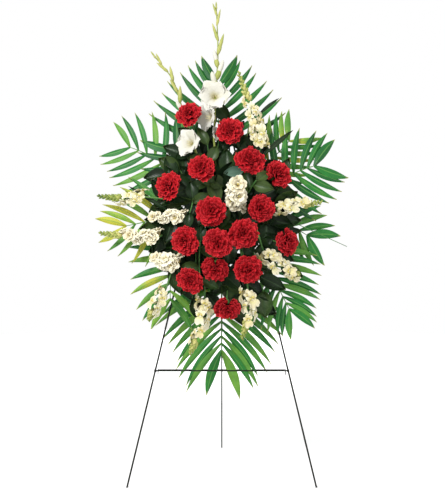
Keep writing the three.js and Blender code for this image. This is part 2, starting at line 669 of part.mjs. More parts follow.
spikes.forEach(({ name, kind, count, size, path, full, buds, anchor }, i) => {
  const random = seeded(FIRST_SPIKE_SEED + i);
  const curve = new THREE.CatmullRomCurve3(vectors(path));
  const exit = foamExit(at(...anchor), curve.getPoint(0));
  const start = sunkStart(exit, curve.getPoint(0), SLIM_STEM_DEPTH);
  const stem = [start, exit, ...curve.getPoints(5)];
  const pieces = [rod(stem, 3, (along) => mix(...SPIKE_RADIUS, along))];
  for (let j = 0; j < count; j += 1) {
    const mark = mix(FLORET_START, full, j / (count - 1));
    const turn = (j * FLORET_TURN + random() * FLORET_SPREAD) % FRONT_HALF.range;
    const way = wayOut(curve.getTangent(mark), FRONT_HALF.from + turn, FLORET_LEAN);
    pieces.push(floret(curve.getPoint(mark), way, kind(mix(...size, j / count)), 3, random));
  }
  for (let j = 0; j < buds; j += 1) {
    const mark = mix(full + SPIKE_BUDS.gap, SPIKE_BUDS.end, buds > 1 ? j / (buds - 1) : 1);
    const turn = SPIKE_BUDS.from + SPIKE_BUDS.turn * (j % 3);
    const way = wayOut(curve.getTangent(mark), turn, SPIKE_BUDS.lean);
    const length = mix(...SPIKE_BUD_LENGTH, j / buds);
    const width = mix(...SPIKE_BUD_WIDTH, j / buds);
    pieces.push(bud(curve.getPoint(mark), way, length, width, 3));
  }
  bore(start, exit, SPIKE_RADIUS[0]);
  addMesh(spray, name, fuse(pieces), kind === stockFloret ? petalWhite() : petalCream());
});

// Lemon leaf: short woody stems with broad dark leaves between the flowers
const BROAD_LEAF_STATIONS = [[0, 0.1], [0.22, 0.8], [0.5, 1], [0.8, 0.62]];
const BROAD_LEAF_RIDGE = 2;
const BROAD_LEAF_BOW = 6;
const LEAF_STEM_RADIUS = 2;

function broadLeaf(root, tip, width) {
  const run = tip.clone().sub(root);
  const side = run.clone().cross(FRONT).normalize();
  const face = side.clone().cross(run).normalize();
  const rings = BROAD_LEAF_STATIONS.map(([t, share]) => {
    const rise = BROAD_LEAF_BOW * 4 * t * (1 - t);
    const middle = root.clone().addScaledVector(run, t).addScaledVector(face, rise);
    const half = (width * share) / 2;
    return [
      middle.clone().addScaledVector(side, -half),
      middle.clone().addScaledVector(face, BROAD_LEAF_RIDGE),
      middle.clone().addScaledVector(side, half),
    ];
  });
  return loft([...rings, [tip]]);
}

const leafyStems = [
  { name: 'lemon_leaf_upper', anchor: [-22, -60, 32],
    path: [[-34, -104, 72], [-38, -104, 130], [-44, -100, 186]],
    leaves: [
      { mark: 0, tip: [12, -116, 56], width: 46 },
      { mark: 0, tip: [-104, -108, 44], width: 34 },
      { mark: 0.5, tip: [-14, -104, 182], width: 36 },
      { mark: 0.55, tip: [-106, -110, 142], width: 36 },
      { mark: 0.98, tip: [-74, -98, 238], width: 34 }] },
  { name: 'lemon_leaf_right', anchor: [62, -64, 22],
    path: [[80, -100, 30], [94, -140, 50], [104, -160, 62]],
    leaves: [
      { mark: 0, tip: [24, -98, 86], width: 42 },
      { mark: 0, tip: [56, -98, -52], width: 36 },
      { mark: 0.3, tip: [66, -112, 110], width: 34 },
      { mark: 0.6, tip: [156, -166, 34], width: 40 },
      { mark: 0.98, tip: [142, -140, 92], width: 34 }] },
  { name: 'lemon_leaf_left', anchor: [-78, -64, 22],
    path: [[-88, -112, 10], [-92, -124, -14], [-98, -130, -34]],
    leaves: [
      { mark: 0, tip: [-96, -116, 70], width: 40 },
      { mark: 0.2, tip: [-30, -112, 26], width: 38 },
      { mark: 0.98, tip: [-104, -134, -82], width: 34 }] },
  { name: 'lemon_leaf_lower_right', anchor: [58, -70, -30],
    path: [[98, -88, -150], [112, -84, -215], [128, -84, -270]],
    leaves: [
      { mark: 0.02, tip: [62, -96, -124], width: 38 },
      { mark: 0.3, tip: [172, -80, -156], width: 40 },
      { mark: 0.55, tip: [196, -84, -262], width: 46 },
      { mark: 0.98, tip: [132, -92, -350], width: 54 }] },
  { name: 'lemon_leaf_lower', anchor: [-42, -60, -30],
    path: [[-66, -112, -118], [-68, -120, -176], [-66, -121, -236]],
    leaves: [
      { mark: 0.02, tip: [-62, -118, -64], width: 44 },
      { mark: 0.2, tip: [2, -118, -158], width: 40 },
      { mark: 0.7, tip: [-126, -118, -196], width: 36 },
      { mark: 0.98, tip: [-8, -122, -262], width: 32 }] },
];

for (const { name, anchor, path, leaves } of leafyStems) {
  const curve = new THREE.CatmullRomCurve3(vectors(path));
  const exit = foamExit(at(...anchor), curve.getPoint(0));
  const start = sunkStart(exit, curve.getPoint(0), SLIM_STEM_DEPTH);
  const pieces = [rod([start, exit, ...curve.getPoints(3)], 4, () => LEAF_STEM_RADIUS)];
  for (const { mark, tip, width } of leaves) {
    pieces.push(broadLeaf(curve.getPoint(mark), at(...tip), width));
  }
  bore(start, exit, LEAF_STEM_RADIUS);
  addMesh(spray, name, fuse(pieces), leafGreen());
}

// Foam block with its bores
const foamBack = -(LEG_RADIUS + FIT_GAP + CAGE_WALL + FIT_GAP);
const foamBlock = toSolid(
  block(
    at(-FOAM_HALF_WIDTH, FOAM_FRONT, -FOAM_HALF_HEIGHT),
    at(FOAM_HALF_WIDTH, foamBack, FOAM_HALF_HEIGHT),
  ),
);
addMesh(spray, 'foam_block', foamBlock.subtract(fuse(bores)), foamGreen());

// Cage: a tray behind the foam, two hoops over its front, and a clip round each leg
const trayInside = at(FOAM_HALF_WIDTH + FIT_GAP, 0, FOAM_HALF_HEIGHT + FIT_GAP);
const trayBack = -(LEG_RADIUS + FIT_GAP);
const trayFloor = trayBack - CAGE_WALL;
const tray = toSolid(
  block(
    at(-trayInside.x - CAGE_WALL, trayFloor - TRAY_LIP, -trayInside.z - CAGE_WALL),
    at(trayInside.x + CAGE_WALL, trayBack, trayInside.z + CAGE_WALL),
  ),
).subtract(
  toSolid(
    block(
      at(-trayInside.x, trayFloor - TRAY_LIP - 1, -trayInside.z),
      at(trayInside.x, trayFloor, trayInside.z),
    ),
  ),
);

function hoop(place) {
  const outer = toSolid(
    block(
      at(place - HOOP_HALF_WIDTH, FOAM_FRONT - FIT_GAP - CAGE_WALL, -trayInside.z - CAGE_WALL),
      at(place + HOOP_HALF_WIDTH, trayFloor + CAGE_WALL / 2, trayInside.z + CAGE_WALL),
    ),
  );
  const inner = toSolid(
    block(
      at(place - 2 * HOOP_HALF_WIDTH, FOAM_FRONT - FIT_GAP, -trayInside.z),
      at(place + 2 * HOOP_HALF_WIDTH, trayFloor, trayInside.z),
    ),
  );
  return outer.subtract(inner);
}

const CLIP_HALF_WIDTH = 7;
const CLIP_HALF_HEIGHT = 12;
const CLIP_BACK = 6;
const CLIP_BORE_REACH = 30;
const CLIP_BORE_RADIUS = LEG_RADIUS + FIT_GAP + 0.15;

function legClip(side) {
  const middle = side * legHalfSpreadAt(SPRAY_HEIGHT);
  const clip = block(
    at(middle - CLIP_HALF_WIDTH, trayBack - CAGE_WALL / 2, -CLIP_HALF_HEIGHT),
    at(middle + CLIP_HALF_WIDTH, CLIP_BACK, CLIP_HALF_HEIGHT),
  );
  const slope = (TOP_HALF_SPREAD - FOOT_HALF_SPREAD) / Math.hypot(TOP_HEIGHT, TOP_SETBACK);
  const legWay = [-CLIP_BORE_REACH, CLIP_BORE_REACH].map((rise) =>
    at(middle + side * slope * rise, 0, rise),
  );
  return toSolid(clip).subtract(toSolid(rod(legWay, 12, () => CLIP_BORE_RADIUS)));
}

const cage = [...HOOP_PLACES.map(hoop), legClip(-1), legClip(1)];
addMesh(spray, 'foam_cage', cage.reduce((whole, piece) => whole.add(piece), tray), cageGreen());

// The whole spray on its easel, set with its middle over the origin
const part = new THREE.Group();
part.add(easel, spray);
part.updateMatrixWorld(true);
const extent = new THREE.Box3().setFromObject(part, true);
part.position.set(
  -(extent.min.x + extent.max.x) / 2,
  -(extent.min.y + extent.max.y) / 2,
  -extent.min.z,
);

export default part;
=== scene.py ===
import bpy
import bmesh
import math
from mathutils import Matrix, Quaternion, Vector


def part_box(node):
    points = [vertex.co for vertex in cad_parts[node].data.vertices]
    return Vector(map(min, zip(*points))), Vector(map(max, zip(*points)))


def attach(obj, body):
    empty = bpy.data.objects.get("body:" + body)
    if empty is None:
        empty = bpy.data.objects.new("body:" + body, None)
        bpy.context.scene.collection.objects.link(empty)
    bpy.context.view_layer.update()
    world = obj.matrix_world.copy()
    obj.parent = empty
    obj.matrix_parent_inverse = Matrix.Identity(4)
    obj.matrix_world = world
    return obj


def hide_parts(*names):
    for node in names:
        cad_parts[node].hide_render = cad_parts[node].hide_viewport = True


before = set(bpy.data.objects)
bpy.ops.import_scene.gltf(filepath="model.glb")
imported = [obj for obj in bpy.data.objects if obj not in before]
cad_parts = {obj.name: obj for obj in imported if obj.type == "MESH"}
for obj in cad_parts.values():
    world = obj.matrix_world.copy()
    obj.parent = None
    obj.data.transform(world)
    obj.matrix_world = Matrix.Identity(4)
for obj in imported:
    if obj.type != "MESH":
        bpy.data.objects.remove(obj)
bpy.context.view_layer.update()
bpy.ops.object.select_all(action="DESELECT")

# The studio: a seamless pale floor under a white surround, lit softly from the upper left.
# The camera stands 3.2 m in front of the front feet and looks slightly down, as in the photo.
PHOTO_HEIGHT_PIXELS = 500
FOCAL_LENGTH_PIXELS = 1064
CAMERA_DISTANCE = 3.2
CAMERA_HEIGHT = 0.95
CAMERA_SHIFT = 0.0024
CAMERA_PITCH_DOWN = math.radians(3.96)
TOP_SETBACK = 0.230

pivot_low, pivot_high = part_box("easel_pivot_bar")
pivot = (pivot_low + pivot_high) / 2
front_feet_y = pivot.y - TOP_SETBACK

bpy.ops.object.camera_add(
    location=(pivot.x + CAMERA_SHIFT, front_feet_y - CAMERA_DISTANCE, CAMERA_HEIGHT),
    rotation=(math.pi / 2 - CAMERA_PITCH_DOWN, 0, 0),
)
camera = bpy.context.object
camera.data.sensor_fit = "VERTICAL"
camera.data.angle_y = 2 * math.atan(PHOTO_HEIGHT_PIXELS / 2 / FOCAL_LENGTH_PIXELS)
camera.data.clip_end = 50
bpy.context.scene.camera = camera
bpy.context.scene.view_settings.view_transform = "Standard"

LIGHT_AIM = Vector((0, 0, 0.8))


def soft_light(name, place, size, power):
    """A round soft light aimed at the middle of the spray."""
    way = LIGHT_AIM - Vector(place)
    bpy.ops.object.light_add(
        type="AREA", location=place, rotation=way.to_track_quat("-Z", "Y").to_euler()
    )
    light = bpy.context.object
    light.name = name
    light.data.shape = "DISK"
    light.data.size = size
    light.data.energy = power
    return light


soft_light("key_light", (-1.9, -2.9, 3.0), 1.3, 190)
soft_light("fill_light", (2.4, -3.0, 1.6), 2.4, 30)
back_light = soft_light("back_light", (0.8, 2.4, 2.8), 2.0, 130)
# The back light whitens the floor, but puts no glare on the leaves
back_light.visible_glossy = False

world = bpy.data.worlds.new("white_surround")
world.use_nodes = True
world.node_tree.nodes["Background"].inputs["Color"].default_value = (1, 1, 1, 1)
world.node_tree.nodes["Background"].inputs["Strength"].default_value = 1.0
bpy.context.scene.world = world


class NodeTree:
    """A tree of shader nodes. Each input is given a value, a colour or the socket that feeds it."""

    def __init__(self, tree):
        self.tree = tree

    def feed(self, socket, value):
        if isinstance(value, bpy.types.NodeSocket):
            self.tree.links.new(value, socket)
        elif socket.type == "RGBA":
            socket.default_value = (*value, 1)
        else:
            socket.default_value = value

    def add(self, kind, settings=None, **inputs):
        node = self.tree.nodes.new(kind)
        for key, value in (settings or {}).items():
            setattr(node, key, value)
        for key, value in inputs.items():
            self.feed(node.inputs[key.replace("_", " ")], value)
        return node

    def calculate(self, operation, *values):
        node = self.add("ShaderNodeMath", {"operation": operation})
        for socket, value in zip(node.inputs, values):
            self.feed(socket, value)
        return node.outputs["Value"]

    def span(self, value, **ends):
        """A value taken from one range to another, 0 to 1 unless it is given."""
        return self.add("ShaderNodeMapRange", Value=value, **ends).outputs["Result"]


class Finish(NodeTree):
    """A procedural material: patterns in the piece's own space, led to its Principled shader."""

    BLEND_BASE, BLEND_OVER, BLEND_RESULT = 6, 7, 2

    def __init__(self, name, roughness, gleam=0.5):
        self.material = bpy.data.materials.new(name)
        self.material.use_nodes = True
        super().__init__(self.material.node_tree)
        self.shader = self.tree.nodes["Principled BSDF"].inputs
        self.feed(self.shader["Roughness"], roughness)
        self.feed(self.shader["Specular IOR Level"], gleam)
        self.place = self.add("ShaderNodeTexCoord").outputs

    def noise(self, scale, detail, roughness=0.5):
        noise = self.add("ShaderNodeTexNoise", Scale=scale, Detail=detail, Roughness=roughness)
        self.feed(noise.inputs["Vector"], self.place["Object"])
        return noise.outputs["Fac"]

    def ramp(self, value, stops):
        """A colour for each value, even between the stops."""
        ramp = self.add("ShaderNodeValToRGB", Fac=value)
        elements = ramp.color_ramp.elements
        while len(elements) < len(stops):
            elements.new(0.5)
        for element, (place, color) in zip(elements, stops):
            element.position = place
            element.color = (*color, 1)
        return ramp.outputs["Color"]

    def blend(self, base, over, share, kind="MIX"):
        """A colour laid over another, as far as its share goes."""
        blend = self.add("ShaderNodeMix", {"data_type": "RGBA", "blend_type": kind}, Factor=share)
        self.feed(blend.inputs[self.BLEND_BASE], base)
        self.feed(blend.inputs[self.BLEND_OVER], over)
        return blend.outputs[self.BLEND_RESULT]

    def paint(self, color):
        self.feed(self.shader["Base Color"], color)

    def gloss(self, value, **ends):
        self.feed(self.shader["Roughness"], self.span(value, **ends))

    def relief(self, height, strength, distance, invert=False):
        bump = self.add("ShaderNodeBump", {"invert": invert}, Strength=strength, Distance=distance)
        self.feed(bump.inputs["Height"], height)
        self.feed(self.shader["Normal"], bump.outputs["Normal"])


FLOOR_RADIUS = 3.2
FLOOR_DROP = 0.0005
FLOOR_GREYS = [(0, (0.545, 0.545, 0.545)), (1, (0.565, 0.565, 0.565))]
FLOOR_EDGE_PAINTED_LIGHT = (0.96, 0.96, 0.96)
paper = Finish("studio_floor", 0.9)
paper_reach = paper.add("ShaderNodeVectorMath", {"operation": "LENGTH"}, Vector=paper.place["Object"])
# Painted light: from 1 m out to 3 m the floor is painted lighter, up to near white, in place of the lamps'
# light that falls off towards its rim
painted_light_fade = paper.span(paper_reach.outputs["Value"], From_Min=1.0, From_Max=3.0)
paper_grey = paper.ramp(paper.noise(scale=0.47, detail=2.0), FLOOR_GREYS)
paper.paint(paper.blend(paper_grey, FLOOR_EDGE_PAINTED_LIGHT, painted_light_fade))
bpy.ops.mesh.primitive_circle_add(
    vertices=96, radius=FLOOR_RADIUS, fill_type="NGON", location=(0, 0, -FLOOR_DROP)
)
floor = bpy.context.object
floor.name = "studio_floor"
floor.data.materials.append(paper.material)

# The easel: straight lengths of round steel wire under dark green enamel, spot-welded where they cross.
# The ends are cut level to stand flat, and a thin ledge wire hooks over the crossbar.
FRONT_BODY = "spray_and_front_frame"
BACK_BODY = "back_leg"
FOOT_HALF_SPREAD = 0.290
TOP_HALF_SPREAD = 0.010
TOP_HEIGHT = 1.164
LEG_RADIUS = 0.00275
BACK_LEG_RADIUS = 0.00225
BACK_FOOT_SETBACK = 0.480
CROSSBAR_HEIGHT = 0.348
CROSSBAR_RADIUS = 0.00225
LEDGE_RADIUS = 0.0014
LEDGE_DEPTH = 0.045
FIT_GAP = 0.0003
WIRE_ROUNDNESS = 6
LEDGE_ROUNDNESS = 4
MERGE_DISTANCE = 0.00001
ACROSS_FRAME = (0, math.pi / 2, 0)
WELD_RADIUS = 0.0021
WELD_BEADS = ((0.0022, 0.0012), (-0.0022, -0.0012), (0.0021, -0.0016), (-0.0021, 0.0018))
ENAMEL = (0.004, 0.005, 0.0035)
ENAMEL_LIGHT = (0.011, 0.013, 0.009)
STEEL = (0.1, 0.095, 0.085)

lean = math.atan2(TOP_SETBACK, TOP_HEIGHT)
lean_back = Vector((0, math.cos(lean), -math.sin(lean)))
lean_up = Vector((0, math.sin(lean), math.cos(lean)))

enamel = Finish("green_enamel", 0.38, gleam=0.1)
enamel_clouds = enamel.noise(scale=60.0, detail=6.0, roughness=0.6)
enamel.paint(enamel.ramp(
    enamel_clouds, [(0.3, ENAMEL), (0.66, ENAMEL_LIGHT), (0.74, ENAMEL_LIGHT), (0.78, STEEL)]
))
enamel.gloss(enamel_clouds, From_Min=0.3, From_Max=0.8, To_Min=0.32, To_Max=0.6)
enamel.relief(enamel.noise(scale=400.0, detail=3.0), strength=0.25, distance=0.0004)


def on_frame(x, back, height, rise=0.0):
    """A place on the leaning front frame: across it, behind its middle plane and along its slope."""
    foot = Vector((pivot.x + x, front_feet_y + TOP_SETBACK * height / TOP_HEIGHT, height))
    return foot + lean_back * back + lean_up * rise


def only(piece):
    """Selects one piece alone and makes it the active one."""
    bpy.ops.object.select_all(action="DESELECT")
    piece.select_set(True)
    bpy.context.view_layer.objects.active = piece


def tube(name, points, radii, roundness, finish):
    """A round wire or stem through points, with a radius at each, as a closed mesh."""
    curve = bpy.data.curves.new(name, "CURVE")
    curve.dimensions = "3D"
    curve.bevel_depth = 1.0
    curve.bevel_resolution = roundness
    curve.use_fill_caps = True
    line = curve.splines.new("POLY")
    line.points.add(len(points) - 1)
    for point, place, radius in zip(line.points, points, radii):
        point.co = (*place, 1)
        point.radius = radius
    line.use_smooth = True
    piece = bpy.data.objects.new(name, curve)
    bpy.context.scene.collection.objects.link(piece)
    only(piece)
    bpy.ops.object.convert(target="MESH")
    bpy.ops.object.mode_set(mode="EDIT")
    bpy.ops.mesh.select_all(action="SELECT")
    bpy.ops.mesh.remove_doubles(threshold=MERGE_DISTANCE)
    bpy.ops.mesh.normals_make_consistent(inside=False)
    bpy.ops.object.mode_set(mode="OBJECT")
    piece = bpy.context.object
    piece.data.materials.clear()
    piece.data.materials.append(finish.material)
    return piece


def join_all(name, pieces):
    """Several finished meshes made one piece."""
    bpy.ops.object.select_all(action="DESELECT")
    for piece in pieces:
        piece.select_set(True)
    bpy.context.view_layer.objects.active = pieces[0]
    bpy.ops.object.join()
    whole = bpy.context.object
    whole.name = name
    return whole


def fit(piece, body, slot, *nodes):
    """The piece rides on its body, and the CAD nodes it stands for are hidden. Its slot is not used."""
    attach(piece, body)
    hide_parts(*nodes)


def cut_level(piece, height, keep_above):
    """The mesh cut off level at a height, and closed there."""
    only(piece)
    bpy.ops.object.mode_set(mode="EDIT")
    bpy.ops.mesh.select_all(action="SELECT")
    bpy.ops.mesh.bisect(
        plane_co=(0, 0, height), plane_no=(0, 0, 1),
        use_fill=True, clear_inner=keep_above, clear_outer=not keep_above,
    )
    bpy.ops.object.mode_set(mode="OBJECT")


def enamelled(name):
    """The round piece that was added last, set in its place, smoothed and enamelled."""
    piece = bpy.context.object
    piece.name = name
    bpy.ops.object.transform_apply(location=True, rotation=True, scale=True)
    bpy.ops.object.shade_smooth()
    piece.data.materials.append(enamel.material)
    return piece


def weld(place):
    """A small bead of weld, slightly uneven."""
    bpy.ops.mesh.primitive_uv_sphere_add(segments=12, ring_count=8, radius=WELD_RADIUS, location=place)
    bpy.ops.transform.resize(value=(1.25, 0.9, 1.0))
    return enamelled("weld_bead")


def wire_eye(place, eye_radius, wire_radius, steps, wire_steps):
    """An eye bent from wire, whose hole runs across the frame."""
    bpy.ops.mesh.primitive_torus_add(
        major_radius=eye_radius, minor_radius=wire_radius, major_segments=steps,
        minor_segments=wire_steps, location=place, rotation=ACROSS_FRAME,
    )
    return enamelled("wire_eye")


def half_spread(height):
    return FOOT_HALF_SPREAD + (TOP_HALF_SPREAD - FOOT_HALF_SPREAD) * height / TOP_HEIGHT


for side, word in [(-1, "left"), (1, "right")]:
    foot = on_frame(side * FOOT_HALF_SPREAD, 0, 0)
    top = on_frame(side * TOP_HALF_SPREAD, 0, TOP_HEIGHT)
    stretch = [foot.lerp(top, share) for share in (-0.01, 0.25, 0.5, 0.75, 1.01)]
    leg = tube(f"leg_{word}", stretch, [LEG_RADIUS] * len(stretch), WIRE_ROUNDNESS, enamel)
    cut_level(leg, 0, True)
    cut_level(leg, TOP_HEIGHT, False)
    crossing = on_frame(side * half_spread(CROSSBAR_HEIGHT), -LEG_RADIUS, CROSSBAR_HEIGHT)
    beads = [
        weld(crossing + lean_up * rise + Vector((offset, 0, 0))) for rise, offset in WELD_BEADS
    ]
    leg = join_all(f"leg_{word}", [leg, *beads])
    fit(leg, FRONT_BODY, "wire", f"easel_leg_{word}")

crossbar_back = -(LEG_RADIUS + CROSSBAR_RADIUS + FIT_GAP)
crossbar_reach = half_spread(CROSSBAR_HEIGHT) + LEG_RADIUS
crossbar_points = [
    on_frame(crossbar_reach * share, crossbar_back, CROSSBAR_HEIGHT) for share in (-1, -0.5, 0, 0.5, 1)
]
crossbar = tube("crossbar", crossbar_points, [CROSSBAR_RADIUS] * 5, WIRE_ROUNDNESS, enamel)
TIE_EYE_RADIUS = 0.004
TIE_EYE_WIRE = 0.0012
tie_eye_drop = CROSSBAR_RADIUS + TIE_EYE_RADIUS - TIE_EYE_WIRE / 2
tie_eye_place = on_frame(0, crossbar_back, CROSSBAR_HEIGHT, -tie_eye_drop)
tie_eye = wire_eye(tie_eye_place, TIE_EYE_RADIUS, TIE_EYE_WIRE, 28, 10)
crossbar = join_all("crossbar", [crossbar, tie_eye])
fit(crossbar, FRONT_BODY, "wire", "easel_crossbar")

# The ledge wire: two hooks over the crossbar, a shallow bay behind it and rounded corners.
# It is bent from one length of thinner wire, and is held by its hooks alone.
CORNER_STEPS = 5
CORNER_RADIUS = 0.006
HOOK_DROPS = (-0.013, -0.004)
LEDGE_CLEARANCE = 0.005
ledge_reach = half_spread(CROSSBAR_HEIGHT) - LEG_RADIUS - LEDGE_RADIUS - LEDGE_CLEARANCE
hook_radius = CROSSBAR_RADIUS + LEDGE_RADIUS + FIT_GAP
corner_turns = [math.pi / 2 * step / CORNER_STEPS for step in range(CORNER_STEPS + 1)]
ledge_side = [(0, -hook_radius, drop) for drop in HOOK_DROPS]
ledge_side += [(0, -hook_radius * math.cos(turn), hook_radius * math.sin(turn)) for turn in corner_turns]
for turn in corner_turns:
    inset = -CORNER_RADIUS * (1 - math.cos(turn))
    back = LEDGE_DEPTH - CORNER_RADIUS * (1 - math.sin(turn))
    ledge_side.append((inset, back, hook_radius))
ledge_points = [
    on_frame(side * (ledge_reach + inset), crossbar_back + back, CROSSBAR_HEIGHT, rise)
    for side, stations in ((-1, ledge_side), (1, reversed(ledge_side)))
    for inset, back, rise in stations
]
ledge = tube("ledge_wire", ledge_points, [LEDGE_RADIUS] * len(ledge_points), LEDGE_ROUNDNESS, enamel)
fit(ledge, FRONT_BODY, "wire", "easel_ledge_wire")

# The pivot bar across the leg tops, with rounded ends, and the back leg whose eye turns on it.
# Both are enamelled steel. The back leg is the one piece that moves.
PIVOT_RADIUS = 0.003
PIVOT_HALF_LENGTH = 0.018
PIVOT_ROUNDING = 0.0008
bpy.ops.mesh.primitive_cylinder_add(
    vertices=24, radius=PIVOT_RADIUS, depth=2 * PIVOT_HALF_LENGTH, location=pivot, rotation=ACROSS_FRAME
)
pivot_bar = enamelled("pivot_bar")
bpy.ops.object.modifier_add(type="BEVEL")
pivot_bar.modifiers["Bevel"].width = PIVOT_ROUNDING
pivot_bar.modifiers["Bevel"].segments = 3
bpy.ops.object.modifier_apply(modifier="Bevel")
bpy.ops.object.shade_smooth_by_angle(angle=math.radians(40))
fit(pivot_bar, FRONT_BODY, "wire", "easel_pivot_bar")

PIVOT_EYE_RADIUS = 0.00575
WIRE_OVERLAP = 0.0005
back_foot = Vector((pivot.x, front_feet_y + BACK_FOOT_SETBACK, 0))
down = (back_foot - pivot).normalized()
back_points = [pivot + down * (PIVOT_EYE_RADIUS + WIRE_OVERLAP)]
back_points += [back_points[0].lerp(back_foot, share) for share in (0.25, 0.5, 0.75, 1.01)]
back_leg = tube("back_leg_wire", back_points, [BACK_LEG_RADIUS] * 5, WIRE_ROUNDNESS, enamel)
cut_level(back_leg, 0, True)
pivot_eye = wire_eye(pivot, PIVOT_EYE_RADIUS, BACK_LEG_RADIUS, 32, 12)
back_leg = join_all("back_leg_wire", [back_leg, pivot_eye])
fit(back_leg, BACK_BODY, "wire", "easel_back_leg")

# The foam block: soaked floral foam, deep green and finely cellular, with a plain bore for each stem.
# It is moulded and cut square, and darker where the water stands.
FOAM_GREENS = [(0.3, (0.005, 0.016, 0.007)), (0.7, (0.012, 0.036, 0.015))]
foam = Finish("soaked_foam", 0.85)
foam_cells = foam.add("ShaderNodeTexVoronoi", Vector=foam.place["Object"], Scale=900.0)
foam.paint(foam.ramp(foam.noise(scale=28.0, detail=5.0), FOAM_GREENS))
foam.relief(foam_cells.outputs["Distance"], strength=0.5, distance=0.0008)


def dress(node, finish):
    """Gives its finish to a CAD piece that shows as it is."""
    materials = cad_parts[node].data.materials
    materials.clear()
    materials.append(finish.material)


dress("foam_block", foam)

# The cage: a moulded green tray with two hoops over the foam and a clip round each leg.
# The hoops and the clips are one moulding with the tray, which snaps on to the two front legs.
PLASTIC_GREENS = [(0.3, (0.008, 0.028, 0.011)), (0.7, (0.013, 0.045, 0.017))]
plastic = Finish("moulded_green_plastic", 0.42)
plastic.paint(plastic.ramp(plastic.noise(scale=25.0, detail=4.0), PLASTIC_GREENS))
plastic.relief(plastic.noise(scale=700.0, detail=2.0), strength=0.2, distance=0.0003)
dress("foam_cage", plastic)

# Palm fronds: a slender tapering rib with pairs of long folded leaflets, glossy and deep green.
# Their cut ends are pushed into the foam. Each leaflet is pleated along its length and bows outwards.
SPRAY_HEIGHT = 0.846
SPRAY_ARCH = 0.016
ARCH_REACH = 0.400
FRONT = Vector((0, -1, 0))
TOLERANCE = 0.0001
RIM_ANGLE = math.radians(65)
spray_place = on_frame(0, 0, SPRAY_HEIGHT)
SPRAY_TO_EASEL = Matrix.Translation(spray_place) @ Matrix.Rotation(-lean, 4, "X")


def seeded(seed):
    """A repeatable stream of numbers from 0 to 1."""
    state = seed
    while True:
        state = (state * 1664525 + 1013904223) % 4294967296
        yield state / 4294967296


def blend_values(pair, share):
    return pair[0] + (pair[1] - pair[0]) * share


class Effect(NodeTree):
    """A shader node group over a blade's UV map, with numbers that each material sets."""

    def __init__(self, name, numbers, outputs):
        super().__init__(bpy.data.node_groups.new(name, "ShaderNodeTree"))
        self.tree.interface.new_socket("UV", in_out="INPUT", socket_type="NodeSocketVector")
        for label, value in numbers.items():
            socket = self.tree.interface.new_socket(label, in_out="INPUT", socket_type="NodeSocketFloat")
            socket.default_value = value
        for label in outputs:
            self.tree.interface.new_socket(label, in_out="OUTPUT", socket_type="NodeSocketFloat")
        self.given = self.tree.nodes.new("NodeGroupInput").outputs
        self.result = self.tree.nodes.new("NodeGroupOutput").inputs
        blade = self.add("ShaderNodeSeparateXYZ", Vector=self.given["UV"]).outputs
        self.across, self.along = blade["X"], blade["Y"]
        self.from_middle = self.calculate("ABSOLUTE", self.calculate("SUBTRACT", self.across, 0.5))

    def line(self, distance, width):
        """1 on a line, falling to 0 at a distance of its width."""
        return self.span(distance, From_Max=width, To_Min=1, To_Max=0)


# Effect: veins that run along a blade, with a midrib down its middle
veins = Effect("lengthwise_veins", {"Count": 10.0, "Rib Width": 0.05}, ["Veins", "Rib"])
vein_turns = veins.calculate("MULTIPLY", veins.across, veins.given["Count"])
vein_wave = veins.calculate("SINE", veins.calculate("MULTIPLY", vein_turns, 2 * math.pi))
veins.feed(veins.result["Veins"], veins.calculate("MULTIPLY_ADD", vein_wave, 0.5, 0.5))
veins.feed(veins.result["Rib"], veins.line(veins.from_middle, veins.given["Rib Width"]))


def tinted_color(blade, clouds, gain, stops, vein, streaks, share):
    """A colour by the piece's tint and its clouds, streaked along its veins."""
    tint = blade.add("ShaderNodeAttribute", {"attribute_name": "tint"}).outputs["Fac"]
    color = blade.ramp(blade.calculate("MULTIPLY_ADD", clouds, gain, tint), stops)
    return blade.blend(color, blade.ramp(vein["Veins"], streaks), share, "MULTIPLY")


def blade_veins(blade, count, rib_width):
    """The lengthwise veins of a blade, and its length from root to tip."""
    vein = blade.add("ShaderNodeGroup", {"node_tree": veins.tree}, Count=count, Rib_Width=rib_width)
    blade.feed(vein.inputs["UV"], blade.place["UV"])
    length = blade.add("ShaderNodeSeparateXYZ", Vector=blade.place["UV"]).outputs["Y"]
    return vein.outputs, length


def leaf_finish(name, greens, rib_color, tip_color, count, roughness, gleam=0.22):
    """A waxy leaf: tinted green by leaflet, lighter midrib, fine lengthwise veins and a dry tip."""
    leaf = Finish(name, roughness, gleam)
    vein, length = blade_veins(leaf, count, rib_width=0.07)
    clouds = leaf.noise(scale=22.0, detail=4.0)
    stops = list(zip((0.1, 0.55, 0.9, 1.0), greens))
    streaks = [(0.2, (0.55, 0.6, 0.5)), (0.8, (1.1, 1.1, 1.05))]
    color = tinted_color(leaf, clouds, 0.45, stops, vein, streaks, share=0.35)
    color = leaf.blend(color, rib_color, vein["Rib"])
    leaf.paint(leaf.blend(color, tip_color, leaf.span(length, From_Min=0.9, From_Max=1.0)))
    leaf.relief(vein["Veins"], strength=0.35, distance=0.0006)
    leaf.gloss(clouds, To_Min=roughness - 0.08, To_Max=roughness + 0.14)
    return leaf


palm = leaf_finish(
    "palm_leaflet",
    [(0.002, 0.045, 0.012), (0.012, 0.13, 0.018), (0.13, 0.27, 0.03), (0.34, 0.34, 0.03)],
    rib_color=(0.08, 0.21, 0.04), tip_color=(0.3, 0.3, 0.08), count=9.0, roughness=0.42,
)
palm_rib = leaf_finish(
    "palm_rib",
    [(0.02, 0.1, 0.02), (0.06, 0.18, 0.03), (0.14, 0.25, 0.05)],
    rib_color=(0.1, 0.22, 0.05), tip_color=(0.15, 0.26, 0.06), count=6.0, roughness=0.45,
)


